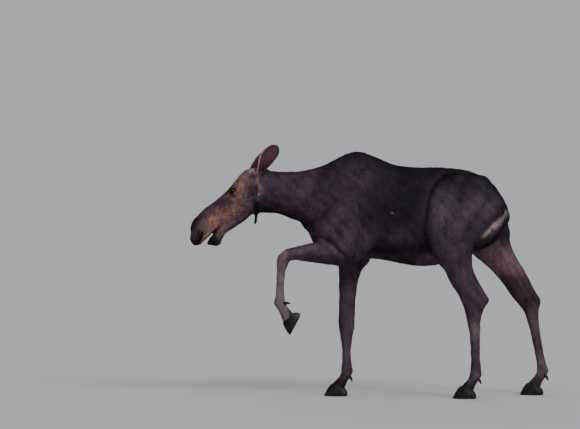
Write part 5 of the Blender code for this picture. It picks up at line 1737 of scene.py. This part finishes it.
def ear_locks(side, word):
    """Locks over one surface of an ear's leaf: short on the back, longer within,
    where they fan over the hollow from its rims."""
    axis, face, across = ear_axes(side)
    count, seed = EAR_LOCKS[word]
    count = count
    inner, outer, (u, v) = ear_grid(side)
    quad = grid_quads(*u.shape)
    triangles = np.concatenate([quad[:, :3], quad[:, [0, 2, 3]]])
    u, v = u.ravel(), v.ravel()
    front = front_sign(side)
    within = word == "inside"
    points = (inner if within else outer).reshape(-1, 3)
    normals = point_normals(points, triangles)
    if (np.mean(normals @ face) < 0.0) == within:
        normals = -normals
    seen = ease(-0.02, 0.06, u[triangles].mean(1))
    corner, share, roots, normal = scatter(points, triangles, normals, seen + 0.02, count, 900 + seed)
    at_u = (u[corner] * share).sum(1)
    at_v = (v[corner] * share).sum(1) * front
    edge = np.abs(at_v) ** 2 * within
    fan = 0.55 if within else 0.2
    way = flat_on(axis + across * (front * fan * at_v)[:, None], normal)
    length = 0.009 + 0.007 * edge * ease(0.85, 0.4, at_u)
    height = (0.0013 if within else 0.001) + 0.0006 * edge
    tint = ear_colours(at_u, at_v, within)
    tint = tint * (1.0 + 0.12 * ripple(roots, 0.012, 61))[:, None]
    spot = np.stack([0.02 + 0.44 * np.clip((at_u + 0.1) / 1.1, 0, 1)
            + (0.0 if within else 0.5), 0.05 + 0.9 * (at_v * 0.5 + 0.5)], -1)
    return locks("ear_hair_%s_%s" % (word, side), roots, normal, way, length,
            0.0006 + 0.1 * length, height, tint, spot, 910 + seed)


def ear_fringe(side):
    """Short locks that stand along an ear's rims, more of them in front."""
    axis, face, across = ear_axes(side)
    inner = ear_grid(side)[0]
    rows, columns = inner.shape[:2]
    front = front_sign(side)
    rng = np.random.default_rng(77)
    count = 1500
    rim = np.where(rng.random(count) < 0.65, front, -front)
    run = rng.uniform(np.where(rim == front, 0.08, 0.22), 0.99)
    row = run * (rows - 1)
    low = np.minimum(row.astype(int), rows - 2)
    part = (row - low)[:, None]
    edge = np.where(rim > 0, columns - 1, 0)
    roots = inner[low, edge] * (1 - part) + inner[low + 1, edge] * part
    spread = rim * (rng.uniform(-0.1, 0.08, count) - 0.9 * ease(0.7, 1.0, run))
    way = unit(axis + across * spread[:, None] - face * 0.05)
    length = 0.006 + 0.002 * np.sin(math.pi * np.clip(run, 0, 1))
    # Painted shade: on the far, right ear the rim locks keep only 0.3 of the tint.
    tint = ear_colours(-0.1 + 1.1 * run, rim * front * 0.97, True) * (1.0 if side == "left" else 0.3)
    spot = np.stack([0.02 + 0.44 * run, 0.5 + 0.45 * rim * front], -1)
    return locks("ear_fringe_" + side, roots, np.tile(face, (count, 1)), way, length,
            0.0004 + 0.07 * length, np.full(count, 0.0008), tint, spot, 990)


def lid_coat(side, lids):
    """Very short locks over a lid, from its edge out onto the face."""
    points, triangles = points_of(lids), triangles_of(lids)
    normals = point_normals(points, triangles)
    _, along, up = eye_axes(side)
    a, b, _ = by_eye(points[triangles].mean(1), side)
    reach = np.hypot(a / 0.0235, (b + 0.0015) / 0.0165)
    count = 4200
    *_, roots, normal = scatter(points, triangles, normals, ease(0.88, 1.1, reach) + 0.001, count, 951)
    a, b, _ = by_eye(roots, side)
    away = along * (a / 0.024)[:, None] + up * (b / 0.018)[:, None]
    way = flat_on(unit(0.55 * away - along), normal)
    far = ease(0.95, 1.6, np.hypot(a / 0.0235, b / 0.0165))
    length = 0.0035 + 0.0035 * far
    tint = markings(roots, normal)
    tint = lay(tint, "soot", 0.85 * ease(1.25, 0.9, np.hypot(a / 0.025, b / 0.0165)))
    return locks("lid_coat_" + side, roots, normal, way, length,
            0.0004 + 0.09 * length, 0.0004 + 0.0005 * far, tint, unwrapped(roots), 955)


def make_lashes(side):
    """Upper lashes and a few under the eye: long thin locks from the lid."""
    centre = EYES[side]
    out, along, up = eye_axes(side)
    rng = np.random.default_rng(5)
    edge = slit(ALMOND, ALMOND_HALF, 0.0012, 720, 0.45)
    turn = np.linspace(0.0, TURN, 720, endpoint=False)
    rise = np.sin(turn)
    odds = np.where(rise > 0.15, 1.0, np.where(rise < -0.3, 0.35, 0.0))
    pick = rng.choice(720, 110, p=odds / odds.sum())
    flat = edge[pick]
    far = np.linalg.norm(flat, axis=1)
    height = np.sqrt(np.maximum((EYE_RADIUS + 0.0026) ** 2 - far ** 2, 1e-6))
    roots = centre + flat[:, :1] * along + flat[:, 1:] * up + height[:, None] * out
    upward = np.sign(flat[:, 1])[:, None]
    way = unit(out * 0.6 + up * upward * 0.55 + along * (flat[:, :1] / 0.03))
    normal = unit(np.cross(way, np.cross(up * upward, way)))
    length = np.where(flat[:, 1] > 0, 0.0085, 0.004)
    tint = np.tile(np.array(COATS["soot"]), (len(pick), 1))
    return locks("lashes_" + side, roots, normal, way, length, 0.00035 + 0.03 * length,
            np.full(len(pick), 0.0), tint, np.full((len(pick), 2), 0.5) + flat * 12.0, 7, sway=0.12)


# ---------------- assembly
def attach(piece, slot, material, *nodes):
    """Finish a piece: its material, body and the nodes it replaces.  The slot is not used."""
    piece.data.materials.clear()
    piece.data.materials.append(material)
    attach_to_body(piece, "root")
    if nodes:
        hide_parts(*nodes)


def flesh_nodes():
    """Names of the frame's nodes of flesh."""
    starts = ("trunk", "neck", "head", "lower_jaw", "tail", "bell", "foreleg", "hindleg")
    return [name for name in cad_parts
            if name.startswith(starts) or name.endswith(("_cannon", "_foot"))]


def marked(piece):
    """A piece's points and the coat's colour at each."""
    points = points_of(piece)
    return points, markings(points, point_normals(points, triangles_of(piece)))


def build_face(skin, under, coat, bare, eye):
    """Eyes, lids with their coat and lashes, and nostrils, laid on the skin."""
    tree = BVHTree.FromPolygons([Vector(p) for p in points_of(skin)], triangles_of(skin).tolist())
    for side in EYES:
        attach(make_eye(side), "eye", eye, "eye_" + side)
        lids = make_lids(side, tree)
        points, tint = marked(lids)
        a, b, _ = by_eye(points, side)
        rim = np.hypot(a / 0.025, b / 0.0165)
        put(lids, "tint", lay(tint, "soot", 0.85 * ease(1.15, 0.85, rim)) * 0.9)
        put(lids, "head_mask", np.ones(len(points)))
        attach(lids, "face_coat", under)
        attach(lid_coat(side, lids), "face_coat", coat)
        attach(make_lashes(side), "face_coat", coat)
        nostril = make_nostril(side, tree)
        steps = np.linspace(0.0, 1.0, len(NOSTRIL_LOOPS))
        depth = np.append(np.repeat(steps, LOOP_POINTS), 0.0)
        # Painted shade: the nostril's sheet darkens toward its deep end.
        tint = lay(marked(nostril)[1], "soot", ease(0.62, 0.34, depth))
        put(nostril, "tint", tint * 0.8)
        attach(nostril, "face_coat", bare)


def build():
    """Every piece of the animal, finished and attached to the frame."""
    grain = grain_group()
    coat = hair_material("coat_locks", grain, 1.0, 0.35)
    under = hair_material("skin_under_coat", grain, 1.0, 0.9, 0.6, 0.002, "head_mask", "limb_mask")
    horn = horn_material()
    bare = bare_material()
    eye = eye_material()

    skin = make_skin()
    build_face(skin, under, coat, bare, eye)
    sink_openings(skin)
    points, tint = marked(skin)
    head, legs, _ = parts(points)
    put(skin, "tint", tint * 0.8)
    put(skin, "head_mask", head)
    put(skin, "limb_mask", legs)
    unwrap_skin(skin)
    attach(skin, "dark_coat", under, *flesh_nodes())
    for piece in make_coat(skin):
        slot = {"coat_head": "face_coat", "coat_fore": "leg_coat",
                "coat_hind_left": "leg_coat", "coat_hind_right": "leg_coat"}.get(piece.name)
        attach(piece, slot or "dark_coat", coat)

    for side in EARS:
        ear = make_ear(side)
        u, v = (grid.ravel() for grid in ear_grid(side)[2])
        v = v * front_sign(side)
        tint = np.concatenate([ear_colours(u, v, inside) for inside in (True, False)])
        put(ear, "tint", tint * 0.9)
        attach(ear, "face_coat", hair_material("ear_skin_" + side, grain, 1.4, 0.7,
                0.4, 0.001, 1.0), "ear_" + side)
        for piece in (ear_locks(side, "inside"), ear_locks(side, "back"), ear_fringe(side)):
            attach(piece, "face_coat", coat)

    for name, side, fetlock, flex in FEET:
        for hand, word in ((side, "outer"), (-side, "inner")):
            where = "%s_%s" % (name, word)
            claw = make_claw("claw_" + where, fetlock[0], hand, fetlock, flex)
            attach(claw, "hoof_horn", horn, "hoof_" + where)
            spur = make_dewclaw("spur_" + where, fetlock[0], hand, fetlock, flex)
            attach(spur, "hoof_horn", horn, "dewclaw_" + where)


# ---------------- stage
def lamp(name, place, size, power, colour):
    """A soft, even light from far away, as wide as an angle in degrees."""
    data = bpy.data.lights.new(name, "SUN")
    data.angle = math.radians(size)
    data.energy = power
    data.color = colour
    obj = bpy.data.objects.new(name, data)
    bpy.context.scene.collection.objects.link(obj)
    obj.location = place
    away = Vector(place) - Vector(LAMP_AIM)
    obj.rotation_euler = away.to_track_quat("Z", "Y").to_euler()
    obj.visible_glossy = name == "key"


def make_stage():
    """Pale floor, soft lights, pale surroundings and the camera."""
    k = np.arange(96)
    disc = np.linspace(0.0, TURN, len(k), endpoint=False)
    rim = FLOOR_RADIUS * np.column_stack([np.cos(disc), np.sin(disc), 0.0 * disc])
    points = np.concatenate([rim, [[0.0, 0.0, 0.0]]]) + (0.0, 0.0, FLOOR)
    fan = np.stack([np.full(len(k), len(k)), k, (k + 1) % len(k)], -1)
    floor = mesh_object("floor", points, [fan])
    floor.data.materials.append(floor_material())
    floor.visible_glossy = False
    lamp("top", (1.5, -1.5, 8.0), 50.0, 0.4, (1.0, 0.98, 0.98))
    lamp("key", (5.4, 4.0, 6.2), 24.0, 1.5, (1.0, 0.97, 0.95))
    lamp("back", (-6.0, -2.0, 4.5), 40.0, 0.45, (0.95, 0.96, 1.0))
    lamp("fill", (8.0, -3.0, 1.6), 40.0, 0.35, (1.0, 0.98, 0.97))
    scene = bpy.context.scene
    world = bpy.data.worlds.new("studio")
    world.use_nodes = True
    feed(world.node_tree, world.node_tree.nodes["Background"],
         {"Color": (0.86, 0.88, 0.9, 1.0), "Strength": 0.55})
    scene.world = world
    world.cycles_visibility.glossy = False
    data = bpy.data.cameras.new("camera")
    data.sensor_width = 36.0
    data.lens = 224.9
    data.clip_end = 200.0
    camera = bpy.data.objects.new("camera", data)
    scene.collection.objects.link(camera)
    rise, turn = math.radians(CAMERA_RISE), math.radians(CAMERA_TURN)
    back = Vector((math.sin(turn) * math.cos(rise), -math.cos(turn) * math.cos(rise), math.sin(rise)))
    camera.location = Vector(CAMERA_AIM) + back * CAMERA_DISTANCE
    camera.rotation_euler = back.to_track_quat("Z", "Y").to_euler()
    scene.camera = camera


build()
make_stage()
